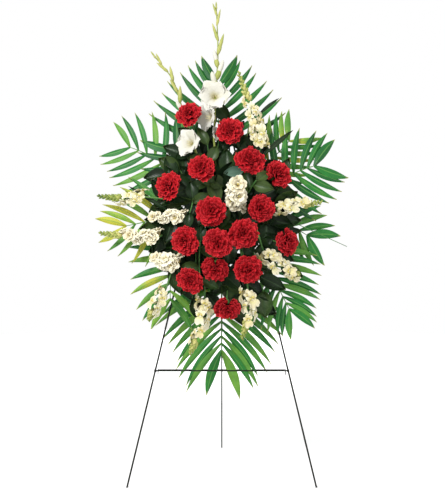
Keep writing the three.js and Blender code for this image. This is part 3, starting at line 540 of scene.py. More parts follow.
def flat_blade(name, across, along):
    """In edit mode: a flat blade one unit long and wide, from y 0 to 1, with its UV map."""
    bpy.ops.object.select_all(action="DESELECT")
    bpy.ops.mesh.primitive_grid_add(x_subdivisions=across, y_subdivisions=along, size=1)
    blade = bpy.context.object
    blade.name = name
    bpy.ops.object.mode_set(mode="EDIT")
    bpy.ops.transform.translate(value=(0, 0.5, 0))
    return blade


def choose(blade, test):
    """Selects the vertices of the mesh in edit mode that pass the test."""
    work = bmesh.from_edit_mesh(blade.data)
    for vertex in work.verts:
        vertex.select_set(bool(test(vertex)))
    work.select_flush_mode()
    bmesh.update_edit_mesh(blade.data)


def shape_rows(blade, along, width_at, rise_at):
    """Each row across the blade is given its width and its rise."""
    for row in range(along + 1):
        y = row / along
        choose(blade, lambda vertex: abs(vertex.co.y - y) < TOLERANCE)
        bpy.ops.transform.resize(value=(width_at(y), 1, 1), center_override=(0, y, 0))
        bpy.ops.transform.translate(value=(0, 0, rise_at(y)))


def between(stops, y):
    """A value between the two nearest of a profile's stops."""
    for (y0, value0), (y1, value1) in zip(stops, stops[1:]):
        if y <= y1:
            return value0 + (value1 - value0) * (y - y0) / (y1 - y0)
    return stops[-1][1]


def blade_done(blade, thickness, finish):
    """Leaves edit mode, thickens the blade, and keeps its mesh for copying."""
    bpy.ops.object.mode_set(mode="OBJECT")
    bpy.ops.object.modifier_add(type="SOLIDIFY")
    blade.modifiers["Solidify"].thickness = thickness
    blade.modifiers["Solidify"].offset = 0
    bpy.ops.object.modifier_apply(modifier="Solidify")
    bpy.ops.object.shade_smooth_by_angle(angle=RIM_ANGLE)
    blade.data.materials.append(finish.material)
    shape = blade.data
    bpy.data.objects.remove(blade)
    return shape


def tinted(piece, tint):
    """Gives the whole piece one tint."""
    values = piece.data.attributes.new("tint", "FLOAT", "POINT")
    values.data.foreach_set("value", [tint] * len(piece.data.vertices))
    return piece


def copy_of(shape, place, tint):
    """A copy of a modelled shape with a mesh of its own, each of its vertices set in place."""
    mesh = shape.copy()
    for vertex in mesh.vertices:
        vertex.co = place(vertex.co)
    piece = bpy.data.objects.new(shape.name, mesh)
    bpy.context.scene.collection.objects.link(piece)
    return tinted(piece, tint)


def arch_back(piece, arch=SPRAY_ARCH):
    """The piece bends back the further it lies from the middle of the spray."""
    for vertex in piece.data.vertices:
        reach = math.hypot(vertex.co.x, vertex.co.z) / ARCH_REACH
        vertex.co.y += arch * reach * reach


def settle(piece, slot, node, arch=None):
    """Takes the piece from the spray's own leaning frame to its place, and fits it there."""
    if arch is not None:
        arch_back(piece, arch)
    piece.data.transform(SPRAY_TO_EASEL)
    fit(piece, FRONT_BODY, slot, node)


LEAFLET_PROFILE = [
    (0, 0.24), (0.08, 0.42), (0.2, 0.7), (0.34, 0.93), (0.48, 1.0), (0.62, 0.93),
    (0.76, 0.68), (0.88, 0.38), (0.95, 0.18), (1, 0.03),
]
LEAFLET_ROWS = 9
LEAFLET_SAG = 0.22
PLEATS = ((0, 0.1), (0.25, -0.01), (0.5, -0.08))
leaflet_blade = flat_blade("leaflet", 4, LEAFLET_ROWS)
for offset, lift in PLEATS:
    choose(leaflet_blade, lambda vertex: abs(abs(vertex.co.x) - offset) < TOLERANCE)
    bpy.ops.transform.translate(value=(0, 0, lift))
shape_rows(
    leaflet_blade, LEAFLET_ROWS,
    lambda y: between(LEAFLET_PROFILE, y), lambda y: -LEAFLET_SAG * y * y,
)
leaflet_shape = blade_done(leaflet_blade, thickness=0.035, finish=palm)


def lay_leaf(root, tip, width, sideways=0.0, forward=0.0, roll=0.0):
    """Where each point of a unit blade goes when it is laid from root to tip, and bowed between them."""
    run = tip - root
    side = run.cross(FRONT).normalized()
    face = side.cross(run).normalized()
    turn = Quaternion(run.normalized(), roll)
    side = turn @ side
    face = turn @ face

    def place(co):
        bow = 4 * co.y * (1 - co.y)
        middle = root + run * co.y
        return middle + side * (co.x * width + sideways * bow) + face * (co.z * width + forward * bow)

    return place


def quadratic(path, share):
    """A point on the bend through a rib's root, its pull point and its tip, and the way it runs."""
    start, pull, end = path
    point = start * (1 - share) ** 2 + pull * (2 * share * (1 - share)) + end * share ** 2
    way = (pull - start) * (2 * (1 - share)) + (end - pull) * (2 * share)
    return point, way.normalized()


STEM_DEPTH = 0.024
STEM_ROUNDNESS = 3
RIB_RADIUS = (0.0030, 0.0011)
RIB_STEPS = 14
RIB_TINT = 0.35
LAST_PAIR = 0.985
LENGTH_EASE = 1.4
LEAFLET_WIDTHS = (0.025, 0.021)
END_LEAFLET_WIDTH = 0.031
LEAFLET_DROOP = 0.005
LEAFLET_BOW = 0.05
LEAFLET_ROLL = 0.25
OPENING_STRAY = 5
LEAFLET_REACH = (0.95, 1.05)
TINT_STEPS = (0.618, 0.31)
# A frond's path is its rib's root, pull point and tip, in millimetres across, back and up from the
# spray's middle. Lengths, widths and openings are those of its first and its last pair of leaflets.
fronds = [
    {"name": "top", "path": [(-4, -34, 55), (-10, -34, 220), (-11, -34, 402)],
     "bare": 0.4, "pairs": 8, "length": (0.245, 0.116), "open": (63, 28), "tint": (0.0, 0.33)},
    {"name": "upper_left", "path": [(-90, -50, 55), (-170, -50, 150), (-293, -50, 193)],
     "bare": 0.3, "pairs": 7, "length": (0.185, 0.105), "open": (72, 35), "tint": (0.05, 0.6),
     "widths": (0.023, 0.017), "end_width": 0.020},
    {"name": "shoulder", "path": [(-82, -56, 55), (-108, -56, 130), (-145, -56, 180)],
     "bare": 0.5, "pairs": 3, "length": (0.150, 0.115), "open": (65, 35), "tint": (-0.1, 0.15)},
    {"name": "upper_right_back", "path": [(60, -50, 55), (140, -50, 130), (215, -50, 214)],
     "bare": 0.35, "pairs": 7, "length": (0.150, 0.105), "open": (58, 40), "tint": (0.25, 0.82),
     "widths": (0.021, 0.018), "end_width": 0.022},
    {"name": "upper_right_front", "path": [(115, -66, 35), (205, -66, 104), (292, -66, 129)],
     "bare": 0.25, "pairs": 7, "length": (0.170, 0.112), "open": (74, 34), "tint": (-0.05, 0.35)},
    {"name": "left", "path": [(-115, -66, -10), (-200, -66, -45), (-300, -66, -62)],
     "bare": 0.25, "pairs": 6, "length": (0.175, 0.100), "open": (62, 22), "tint": (0.35, 0.95),
     "end_tint": 0.95, "widths": (0.020, 0.018), "end_width": 0.023},
    {"name": "lower_left", "path": [(-100, -34, -55), (-165, -34, -160), (-160, -34, -290)],
     "bare": 0.4, "pairs": 7, "length": (0.150, 0.115), "open": (80, 35), "tint": (0.2, 0.75),
     "widths": (0.022, 0.020), "end_width": 0.024},
    {"name": "right", "path": [(115, -34, -15), (190, -34, -40), (270, -34, -88)],
     "bare": 0.35, "pairs": 5, "length": (0.125, 0.110), "open": (55, 30), "tint": (0.15, 0.5)},
    {"name": "lower_right", "path": [(100, -50, -55), (145, -50, -200), (211, -50, -322)],
     "bare": 0.3, "pairs": 10, "length": (0.175, 0.095), "open": (66, 26), "tint": (0.15, 0.55),
     "widths": (0.022, 0.018), "end_width": 0.024},
    {"name": "bottom", "path": [(0, -34, -55), (-1, 6, -260), (-1, 14, -450)],
     "bare": 0.4, "pairs": 11, "length": (0.236, 0.170), "open": (59, 31), "tint": (0.25, 0.6),
     "arch": 0.006, "widths": (0.024, 0.020), "end_open": 20, "end_length": 0.153},
]
FIRST_FROND_SEED = 11


def in_metres(places):
    return [Vector(place) / 1000 for place in places]


def tapered(radii, count):
    """As many radii as there are points, even from the first to the last."""
    return [blend_values(radii, step / (count - 1)) for step in range(count)]


for number, frond in enumerate(fronds):
    random = seeded(FIRST_FROND_SEED + number)
    path = in_metres(frond["path"])
    exit_point, exit_way = quadratic(path, 0)
    ribs = [exit_point - exit_way * STEM_DEPTH]
    ribs += [quadratic(path, step / RIB_STEPS)[0] for step in range(RIB_STEPS + 1)]
    rib = tube("rib", ribs, tapered(RIB_RADIUS, len(ribs)), STEM_ROUNDNESS, palm_rib)
    pieces = [tinted(rib, RIB_TINT)]
    for pair in range(frond["pairs"]):
        share = pair / (frond["pairs"] - 1)
        root, along = quadratic(path, blend_values((frond["bare"], LAST_PAIR), share))
        opening = blend_values(frond["open"], share)
        length = blend_values(frond["length"], share ** LENGTH_EASE)
        width = blend_values(frond.get("widths", LEAFLET_WIDTHS), share)
        if share == 1:
            opening = frond.get("end_open", opening)
            length = frond.get("end_length", length)
            width = frond.get("end_width", END_LEAFLET_WIDTH)
        for side in (-1, 1):
            turn = math.radians(opening + OPENING_STRAY * (next(random) - 0.5))
            way = Quaternion(FRONT, side * turn) @ along
            reach = length * blend_values(LEAFLET_REACH, next(random))
            tip = root + way * reach
            tip.y += LEAFLET_DROOP * (next(random) - 0.3)
            spread = (pair * TINT_STEPS[0] + side * TINT_STEPS[1] + 0.4) % 1
            tint = blend_values(frond["tint"], spread)
            if share == 1:
                tint = frond.get("end_tint", tint)
            bow = -side * LEAFLET_BOW * reach
            place = lay_leaf(root, tip, width, sideways=bow, roll=side * LEAFLET_ROLL)
            pieces.append(copy_of(leaflet_shape, place, tint))
    leafage = join_all(f"frond_{frond['name']}", pieces)
    settle(leafage, "palm", f"palm_frond_{frond['name']}", frond.get("arch", SPRAY_ARCH))

# Carnations: a round head of fringed, ruffled red petals in eight rings over a green calyx.
# The petals are modelled in three patterns of ruffle, copied round the head and fixed in its throat.
CARNATION_DIAMETER = 0.084
CARNATION_STEM_RADIUS = 0.0023
CARNATION_DEPTH = 0.27
CALYX_LENGTH = 0.027
FOAM_HALF_WIDTH = 0.115
FOAM_HALF_HEIGHT = 0.055
FOAM_FRONT = -0.095
PETAL_COLUMNS = 10
PETAL_ROWS = 4
RUFFLES = [
    (0.2, 1.0, 0.6, -0.6, -1.0, 0.0, 1.0, 0.5, -0.8, -0.8, 0.4),
    (-0.9, -0.2, 0.9, 0.6, -0.7, -0.9, 0.3, 1.0, 0.1, -0.9, -0.5),
    (0.8, -0.2, -1.0, -0.4, 0.8, 0.7, -0.5, -0.8, 0.3, 1.0, 0.1),
]
PETAL_FAN = [(0, 0.14), (0.2, 0.3), (0.4, 0.55), (0.6, 0.85), (0.8, 1.04), (1, 1.1)]
RUFFLE_DEPTH = 0.13
FRINGE = 0.036
PETAL_ROLL = (0.5, 1.9)
PETAL_STRAY = 0.7
PETAL_REACH = (0.8, 1.1)
PETAL_TINTS = (0.15, 0.65)
RISE_STRAY = 0.09
HEAD_LOBES = 0.05
TIP_ROUNDING = 0.75
THROAT = (-0.25, 0.04)
PULL_REACH = 0.45
PULL_LIFT = 0.02
PETAL_CURL = -0.25
STEM_TINT = 0.35
UP = Vector((0, 0, 1))


def petal_finish(name, colors, root_tone_and_painted_shade, edge_tone_and_painted_highlight, edge_from, roughness, root_end=0.6):
    """A petal: tinted by petal, streaked along its length, with a colour laid in from its root and a paler
    one at its edge. The root colour is painted shade in the carnation and the stock, and the flower's own
    throat colour in the others; the carnation's paler edge is a painted highlight.
    """
    petal = Finish(name, roughness, gleam=0.12)
    vein, length = blade_veins(petal, count=14.0, rib_width=0.02)
    clouds = petal.noise(scale=60.0, detail=3.0)
    stops = list(zip((0.1, 0.6, 1.0), colors))
    streaks = [(0.1, (0.75, 0.75, 0.75)), (0.8, (1.0, 1.0, 1.0))]
    color = tinted_color(petal, clouds, 0.4, stops, vein, streaks, share=0.25)
    # The root colour, laid from the root outwards: painted shade in the carnation and the stock, the
    # flower's own throat colour in the others
    root = petal.span(length, From_Min=0.1, From_Max=root_end, To_Min=1.0, To_Max=0.0)
    # The edge colour, laid over the tip: a painted highlight on the carnation's fringe
    edge = petal.span(length, From_Min=edge_from, From_Max=1.0, To_Max=0.8)
    petal.paint(petal.blend(petal.blend(color, root_tone_and_painted_shade, root), edge_tone_and_painted_highlight, edge))
    petal.relief(vein["Veins"], strength=0.3, distance=0.0004)
    petal.gloss(clouds, To_Min=roughness - 0.05, To_Max=roughness + 0.15)
    return petal


carnation = petal_finish(
    "carnation_petal",
    [(0.14, 0.001, 0.003), (0.275, 0.002, 0.005), (0.39, 0.004, 0.009)],
    # Painted shade: the near-black root colour darkens each petal deep in the head. Painted highlight: the
    # pinker edge colour on the fringe
    root_tone_and_painted_shade=(0.02, 0.0, 0.001), edge_tone_and_painted_highlight=(0.56, 0.03, 0.04), edge_from=0.93,
    roughness=0.65, root_end=0.9,
)
stem_green = leaf_finish(
    "flower_stem",
    [(0.015, 0.06, 0.015), (0.05, 0.14, 0.035), (0.12, 0.24, 0.06)],
    rib_color=(0.07, 0.17, 0.04), tip_color=(0.13, 0.24, 0.07), count=6.0, roughness=0.5,
)


def move_spot(blade, across, column, row, move):
    """Moves one vertex of the blade's grid, found by its column and row."""
    choose(blade, lambda vertex: vertex.index == row * (across + 1) + column)
    bpy.ops.transform.translate(value=move)


def frill(blade, across, along, pattern, depth, start):
    """Lifts and lowers the columns of a blade from a row outwards, more at its edge."""
    for column, lift in enumerate(pattern):
        for row in range(start, along + 1):
            share = (row - start + 1) / (along - start + 1)
            move_spot(blade, across, column, row, (0, 0, lift * depth * share))


def round_tip(blade, across, along, rounding, fringe):
    """The corners of the last rows drop back to round the tip, and its edge is toothed."""
    for column in range(across + 1):
        drop = rounding * (column / across - 0.5) ** 2
        tooth = fringe * (1 if column % 2 else -1) * (1 + math.sin(2.3 * column))
        move_spot(blade, across, column, along, (0, tooth - drop, 0))
        move_spot(blade, across, column, along - 1, (0, -drop * 0.6, 0))


def fan_petal(name, across, along, fan, pattern, depth, rounding, fringe, thickness, finish):
    """A ruffled petal one unit long, widening to its rounded and toothed tip."""
    petal = flat_blade(name, across, along)
    shape_rows(petal, along, lambda y: between(fan, y), lambda y: 0)
    frill(petal, across, along, pattern, depth, along // 2)
    round_tip(petal, across, along, rounding, fringe)
    return blade_done(petal, thickness, finish)


def lay_petal(path, side, width, curl=0.0):
    """Where each point of a unit petal goes when it follows a bent path and curls across its width."""

    def place(co):
        point, way = quadratic(path, co.y)
        face = side.cross(way)
        return point + side * (co.x * width) + face * ((co.z + curl * co.x * co.x) * width)

    return place


def petal_path(root, way, out, size, *stations):
    """The places a petal bends through, each given by its shares of the size forward and outward."""
    return [root + way * (forward * size) + out * (outward * size) for forward, outward in stations]


def across_axis(axis):
    """Two directions square to an axis and to each other."""
    side = axis.cross(UP if abs(axis.z) < 0.8 else Vector((1, 0, 0))).normalized()
    return side, axis.cross(side)


def round_axis(axis, turn):
    """The direction square to an axis, at a turn round it."""
    side, other = across_axis(axis)
    return side * math.cos(turn) + other * math.sin(turn)


def foam_exit(anchor, target):
    """Where the straight way from an anchor in the foam to a flower leaves the foam."""
    way = target - anchor
    walls = (math.copysign(FOAM_HALF_WIDTH, way.x), FOAM_FRONT, math.copysign(FOAM_HALF_HEIGHT, way.z))
    reaches = [
        (wall - here) / step for wall, here, step in zip(walls, anchor, way) if abs(step) > TOLERANCE
    ]
    return anchor + way * min(reaches)


carnation_petals = [
    fan_petal(
        "carnation_petal", PETAL_COLUMNS, PETAL_ROWS, PETAL_FAN, pattern,
        RUFFLE_DEPTH, TIP_ROUNDING, FRINGE, thickness=0.025, finish=carnation,
    )
    for pattern in RUFFLES
]
carnation_rings = [
    {"reach": 1.0, "rise": -0.09, "petals": 8, "width": 0.98},
    {"reach": 0.98, "rise": 0.0, "petals": 8, "width": 0.92},
    {"reach": 0.86, "rise": 0.06, "petals": 8, "width": 0.86},
    {"reach": 0.7, "rise": 0.12, "petals": 7, "width": 0.8},
    {"reach": 0.52, "rise": 0.15, "petals": 6, "width": 0.76},
    {"reach": 0.34, "rise": 0.19, "petals": 5, "width": 0.66},
    {"reach": 0.18, "rise": 0.21, "petals": 5, "width": 0.5},
    {"reach": 0.05, "rise": 0.19, "petals": 3, "width": 0.42},
]
NOTCH_HALF_ANGLE = math.radians(50)
NOTCH_SHORTENING = 0.92
CALYX = [
    (0, 0.0080), (0.1, 0.0087), (0.3, 0.0086), (0.6, 0.0074), (0.8, 0.0062), (0.93, 0.0044), (1, 0.0026),
]
NECK_LENGTH = 0.018
NECK_PULL = 0.022
SEPALS = 5
SEPAL_WIDTH = 0.009
SEPAL_PROFILE = [(0, 1), (0.5, 0.8), (1, 0.05)]
FIRST_CARNATION_SEED = 101
# The two stems of a pair share an anchor in the foam. Each head has its number, its middle in
# millimetres, how far it faces across and up, and its size.
carnation_pairs = [
    {"anchor": (-45, -50, 28), "heads": [
        ("01", (-102, -128, 276), (-0.2, 0.35), 0.95), ("03", (-63, -165, 100), (-0.15, 0.2), 1.0)]},
    {"anchor": (25, -50, 28), "heads": [
        ("02", (27, -130, 222), (0.05, 0.3), 1.03), ("04", (85, -160, 124), (0.2, 0.25), 1.06)]},
    {"anchor": (-75, -50, 5), "heads": [
        ("05", (-162, -140, 48), (-0.8, 0.1), 1.02), ("07", (-32, -185, -35), (-0.05, 0), 1.04)]},
    {"anchor": (85, -50, 15), "heads": [
        ("06", (173, -125, 88), (0.45, 0.2), 1.0), ("08", (117, -175, -27), (0.35, 0), 1.0)]},
    {"anchor": (-80, -50, -28), "heads": [
        ("09", (-110, -175, -125), (-0.4, -0.1), 1.03), ("15", (-94, -150, -242), (-0.25, -0.4), 0.95)]},
    {"anchor": (-15, -50, -28), "heads": [
        ("10", (-12, -198, -135), (-0.05, -0.1), 1.0), ("13", (-19, -150, -206), (-0.05, -0.75), 0.98)]},
    {"anchor": (30, -50, -30), "heads": [
        ("14", (79, -165, -211), (0.15, -0.3), 1.02), ("16", (18, -125, -323), (0.05, -0.85), 0.9)]},
    {"anchor": (75, -50, -25), "heads": [
        ("11", (65, -192, -105), (0.1, -0.1), 1.05), ("12", (198, -130, -119), (0.85, -0.1), 1.0)]},
]
# Towards these sides, a head is drawn in to clear the flowers beside it
carnation_notches = {"13": (0, 0, 1), "16": (0.1, 0, 1), "06": (-0.8, 0, -0.7), "12": (-0.5, 0, 0.8)}
sepal_shape = flat_blade("sepal", 4, 4)
shape_rows(sepal_shape, 4, lambda y: between(SEPAL_PROFILE, y), lambda y: 0.1 * y)
sepal_shape = blade_done(sepal_shape, thickness=0.05, finish=stem_green)


def carnation_head(middle, facing, diameter, random, notch):
    """The rings of petals of one head, each petal out of step, drawn in where the head is notched."""
    if notch:
        notch = Vector(notch) - facing * facing.dot(Vector(notch))
    petals = []
    for level, ring in enumerate(carnation_rings):
        start = next(random) * 2 * math.pi
        roll_range = blend_values(PETAL_ROLL, level / (len(carnation_rings) - 1))
        for number in range(ring["petals"]):
            turn = start + 2 * math.pi * (number + PETAL_STRAY * (next(random) - 0.5)) / ring["petals"]
            out = round_axis(facing, turn)
            reach = ring["reach"] / 2 * blend_values(PETAL_REACH, next(random))
            rise = ring["rise"] + RISE_STRAY * (next(random) - 0.5)
            if notch and out.angle(notch) < NOTCH_HALF_ANGLE:
                away = math.copysign(NOTCH_HALF_ANGLE - out.angle(notch), out.dot(facing.cross(notch)))
                out = Quaternion(facing, away) @ out
                reach *= NOTCH_SHORTENING
            reach *= 1 + HEAD_LOBES * math.sin(2 * turn + start)
            pull = (max(rise, 0) + PULL_LIFT, PULL_REACH * reach)
            path = petal_path(middle, facing, out, diameter, THROAT, pull, (rise, reach))
            roll = (next(random) - 0.5) * roll_range
            around = Quaternion((path[2] - path[1]).normalized(), roll) @ facing.cross(out)
            place = lay_petal(path, around, ring["width"] * diameter / 2, PETAL_CURL)
            shape = carnation_petals[(level + number) % len(carnation_petals)]
            petals.append(copy_of(shape, place, blend_values(PETAL_TINTS, next(random))))
    return petals


def stem_of(name, points, radii, finish=stem_green, tint=STEM_TINT):
    """A green stem through its points."""
    return tinted(tube(name, points, radii, STEM_ROUNDNESS, finish), tint)


def carnation_stem(anchor, middle, facing, diameter):
    """The stem out of the foam, bending up into the calyx, with its five sepals."""
    calyx_top = middle - facing * (CARNATION_DEPTH * diameter)
    calyx_foot = calyx_top - facing * CALYX_LENGTH
    exit_point = foam_exit(anchor, calyx_foot - facing * NECK_LENGTH)
    path = [exit_point, calyx_foot - facing * NECK_PULL, calyx_foot]
    points = [anchor] + [quadratic(path, step / 8)[0] for step in range(9)]
    pieces = [stem_of("carnation_stem", points, [CARNATION_STEM_RADIUS] * len(points))]
    calyx_points = [calyx_top - facing * (CALYX_LENGTH * down) for down, radius in CALYX]
    pieces.append(stem_of("calyx", calyx_points, [radius for down, radius in CALYX]))
    for number in range(SEPALS):
        out = round_axis(facing, 2 * math.pi * number / SEPALS)
        root = calyx_top + out * 0.0075 - facing * 0.004
        path = [root, root + facing * 0.006, root + out * 0.008 + facing * 0.008]
        pieces.append(copy_of(sepal_shape, lay_petal(path, facing.cross(out), SEPAL_WIDTH), 0.4))
    return pieces


for pair_number, pair in enumerate(carnation_pairs):
    random = seeded(FIRST_CARNATION_SEED + pair_number)
    anchor = Vector(pair["anchor"]) / 1000
    stems = []
    for number, middle, (across, up), size in pair["heads"]:
        facing = Vector((across, -1, up)).normalized()
        diameter = CARNATION_DIAMETER * size
        middle = Vector(middle) / 1000
        petals = carnation_head(middle, facing, diameter, random, carnation_notches.get(number))
        settle(join_all(f"carnation_{number}", petals), "carnation", f"carnation_{number}_head")
        stems += carnation_stem(anchor, middle, facing, diameter)
    numbers = "_".join(head[0] for head in pair["heads"])
    settle(join_all(f"carnation_stalks_{numbers}", stems), "stem", f"carnation_stems_{numbers}")

# Gladioli: funnel florets of six ruffled white tepals on a tall stem, with sheathed buds to its tip.
# Two patterns of tepal are modelled and copied. The buds are spindles in a green sheath, and the
# lowest of them are opening white.
GLADIOLUS_RADIUS = (0.0036, 0.0015)
TEPAL_FAN = [
    (0, 0.2), (0.14, 0.34), (0.28, 0.55), (0.42, 0.8), (0.57, 0.98), (0.71, 1.02), (0.86, 0.85), (1, 0.4),
]
TEPAL_RUFFLES = [(0.9, -0.5, -0.3, 0.1, -0.2, 0.6, -0.9), (-0.8, 0.7, -0.2, 0.0, -0.4, -0.3, 0.9)]
OUTER_TEPAL = {"reach": 0.98, "rise": 0.68, "width": 1.12}
INNER_TEPAL = {"reach": 0.86, "rise": 0.76, "width": 0.95}
STAMENS = 3
FILAMENT_RADIUS = 0.0006
ANTHER_SIZE = (0.009, 0.0022)
ANTHER_OVERLAP = 0.002
SHEATH_DROP = 0.006
TEPAL_CURL = -0.3
TEPAL_REACH = (0.95, 1.03)
TEPAL_TINTS = (0.3, 0.8)
SHEATH_SIZE = (0.75, 1.12)
BUD_LEAN = 3
OPENING_WIDTH = 13
FIRST_GLADIOLUS_SEED = 301
white_petal = petal_finish(
    "white_petal",
    [(0.4, 0.38, 0.29), (0.46, 0.45, 0.38), (0.5, 0.49, 0.44)],
    root_tone_and_painted_shade=(0.46, 0.42, 0.22), edge_tone_and_painted_highlight=(0.52, 0.51, 0.47), edge_from=0.9,
    roughness=0.5, root_end=0.5,
)
sheath_green = leaf_finish(
    "bud_sheath",
    [(0.06, 0.11, 0.02), (0.22, 0.26, 0.055), (0.42, 0.39, 0.14)],
    rib_color=(0.15, 0.2, 0.045), tip_color=(0.6, 0.52, 0.28), count=8.0, roughness=0.48,
)
anther_cream = petal_finish(
    "anther",
    [(0.5, 0.42, 0.2), (0.62, 0.55, 0.3), (0.7, 0.64, 0.4)],
    root_tone_and_painted_shade=(0.6, 0.55, 0.3), edge_tone_and_painted_highlight=(0.7, 0.66, 0.45), edge_from=0.9,
    roughness=0.7,
)
tepals = [
    fan_petal(
        "tepal", 6, 7, TEPAL_FAN, pattern,
        depth=0.09, rounding=0.5, fringe=0.015, thickness=0.012, finish=white_petal,
    )
    for pattern in TEPAL_RUFFLES
]


def spindle(name, sides, rings, profile, finish):
    """A closed round shape one unit long, from z 0 to 1, as wide as its profile says."""
    bpy.ops.object.select_all(action="DESELECT")
    bpy.ops.mesh.primitive_uv_sphere_add(segments=sides, ring_count=rings, radius=0.5, location=(0, 0, 0.5))
    body = bpy.context.object
    bpy.ops.object.transform_apply(location=True, rotation=True, scale=True)
    bpy.ops.object.mode_set(mode="EDIT")
    for ring in range(1, rings):
        height = 0.5 - 0.5 * math.cos(math.pi * ring / rings)
        choose(body, lambda vertex: abs(vertex.co.z - height) < TOLERANCE)
        share = between(profile, height) / math.sin(math.pi * ring / rings)
        bpy.ops.transform.resize(value=(share, share, 1), center_override=(0, 0, height))
    bpy.ops.object.mode_set(mode="OBJECT")
    bpy.ops.object.shade_smooth()
    body.data.materials.append(finish.material)
    shape = body.data
    shape.name = name
    bpy.data.objects.remove(body)
    return shape


def lay_spindle(root, way, length, width):
    """Where each point of a unit spindle goes when it stands on a root and points a way."""
    side, other = across_axis(way)

    def place(co):
        return root + way * (co.z * length) + (side * co.x + other * co.y) * width

    return place


def centripetal(path, share):
    """A point on the smooth curve through a stem's places."""
    last = len(path) - 1
    before = min(int(last * share), last - 1)
    weight = last * share - before
    p1, p2 = path[before], path[before + 1]
    p0 = path[before - 1] if before > 0 else p1 * 2 - p2
    p3 = path[before + 2] if before + 2 <= last else p2 * 2 - p1
    span0, span1, span2 = ((b - a).length ** 0.5 for a, b in ((p0, p1), (p1, p2), (p2, p3)))
    way1 = (p1 - p0) / span0 - (p2 - p0) / (span0 + span1) + (p2 - p1) / span1
    way2 = (p2 - p1) / span1 - (p3 - p1) / (span1 + span2) + (p3 - p2) / span2
    way1, way2 = way1 * span1, way2 * span1
    bend = (p2 - p1) * 3 - way1 * 2 - way2
    twist = (p1 - p2) * 2 + way1 + way2
    return p1 + way1 * weight + bend * weight ** 2 + twist * weight ** 3


def way_along(path, share):
    """The direction of the smooth curve at a share of its way."""
    low, high = max(share - 0.0001, 0), min(share + 0.0001, 1)
    return (centripetal(path, high) - centripetal(path, low)).normalized()


def way_out(along, turn, forward):
    """The way out of a stem at a turn round it, leaning forward along it and kept off the fronds."""
    side = along.cross(FRONT).normalized()
    front = side.cross(along).normalized()
    return (side * math.cos(turn) + front * math.sin(turn) + along * forward).normalized()


def stem_points(anchor, path, steps):
    """The stem's places from inside the foam out to its tip."""
    exit_point = foam_exit(anchor, path[0])
    start = exit_point - (path[0] - exit_point).normalized() * STEM_DEPTH
    return [start, exit_point] + [centripetal(path, step / steps) for step in range(steps + 1)]


gladiolus_bud = spindle(
    "gladiolus_bud", 10, 9,
    [(0, 0.2), (0.12, 0.6), (0.35, 0.95), (0.6, 0.92), (0.85, 0.5), (0.95, 0.2), (1, 0)], sheath_green,
)
opening_bud = spindle(
    "opening_bud", 10, 9,
    [(0, 0.2), (0.12, 0.5), (0.35, 0.85), (0.6, 1.0), (0.85, 0.8), (0.95, 0.4), (1, 0)], white_petal,
)
gladiolus_sheath = spindle(
    "gladiolus_sheath", 10, 9,
    [(0, 0.35), (0.15, 0.8), (0.4, 1.06), (0.6, 0.9), (0.85, 0.4), (0.95, 0.15), (1, 0)], sheath_green,
)
anther_shape = spindle("anther", 6, 5, [(0, 0.4), (0.5, 1), (1, 0.3)], anther_cream)
# A floret has its share of the stem, its turn round it, its lean along it and its size in
# millimetres. A bud has its share of the stem, its turn, its length and its width.
gladioli = [
    {"name": "gladiolus_tall", "anchor": (-8, -60, 30),
     "path": [(-24, -88, 203), (-20, -92, 330), (-12, -86, 480), (-18, -74, 652)],
     "florets": [(0.345, 1.7, 0, 54), (0.19, 2.5, -0.1, 50), (0.04, 0.9, 0.2, 26)],
     "buds": [(0.42, 2.9, 55, 18), (0.49, 0.5, 62, 16), (0.58, 2.6, 52, 14), (0.67, 0.5, 66, 12),
              (0.76, 2.7, 56, 10), (0.86, 0.6, 50, 8), (0.92, 2.6, 40, 7),
              (0.965, 1.5, 20, 6)]},
    {"name": "gladiolus_left", "anchor": (-35, -60, 30),
     "path": [(-80, -108, 162), (-104, -80, 245), (-129, -66, 327), (-156, -66, 405), (-218, -66, 485)],
     "florets": [(0.07, 2.1, -0.05, 48)],
     "buds": [(0.4, 2.6, 45, 14), (0.52, 0.4, 50, 13), (0.62, 2.5, 45, 10), (0.74, 0.6, 45, 10),
              (0.83, 2.5, 42, 9), (0.9, 0.7, 38, 8), (0.97, 1.5, 24, 6)]},
]


def gladiolus_floret(root, way, size, random):
    """Six tepals round a throat, three wide ones behind three narrower, and the stamens."""
    start = next(random) * math.pi
    pieces = []
    for number in range(6):
        tepal = (OUTER_TEPAL, INNER_TEPAL)[number % 2]
        out = round_axis(way, start + math.pi * number / 3)
        reach = tepal["reach"] * blend_values(TEPAL_REACH, next(random))
        path = petal_path(root, way, out, size, (-0.05, 0.03), (0.6, 0.2), (tepal["rise"], reach))
        place = lay_petal(path, way.cross(out), tepal["width"] * size, TEPAL_CURL)
        tint = blend_values(TEPAL_TINTS, next(random))
        pieces.append(copy_of(tepals[number % len(tepals)], place, tint))
    for number in range(STAMENS):
        out = round_axis(way, start + 2 * math.pi * number / STAMENS)
        foot, head = petal_path(root, way, out, size, (0.2, 0.04), (0.58, 0.1))
        pieces.append(stem_of("filament", [foot, head], [FILAMENT_RADIUS] * 2, anther_cream))
        place = lay_spindle(head - way * ANTHER_OVERLAP, way, *ANTHER_SIZE)
        pieces.append(copy_of(anther_shape, place, 0.5))
    return pieces


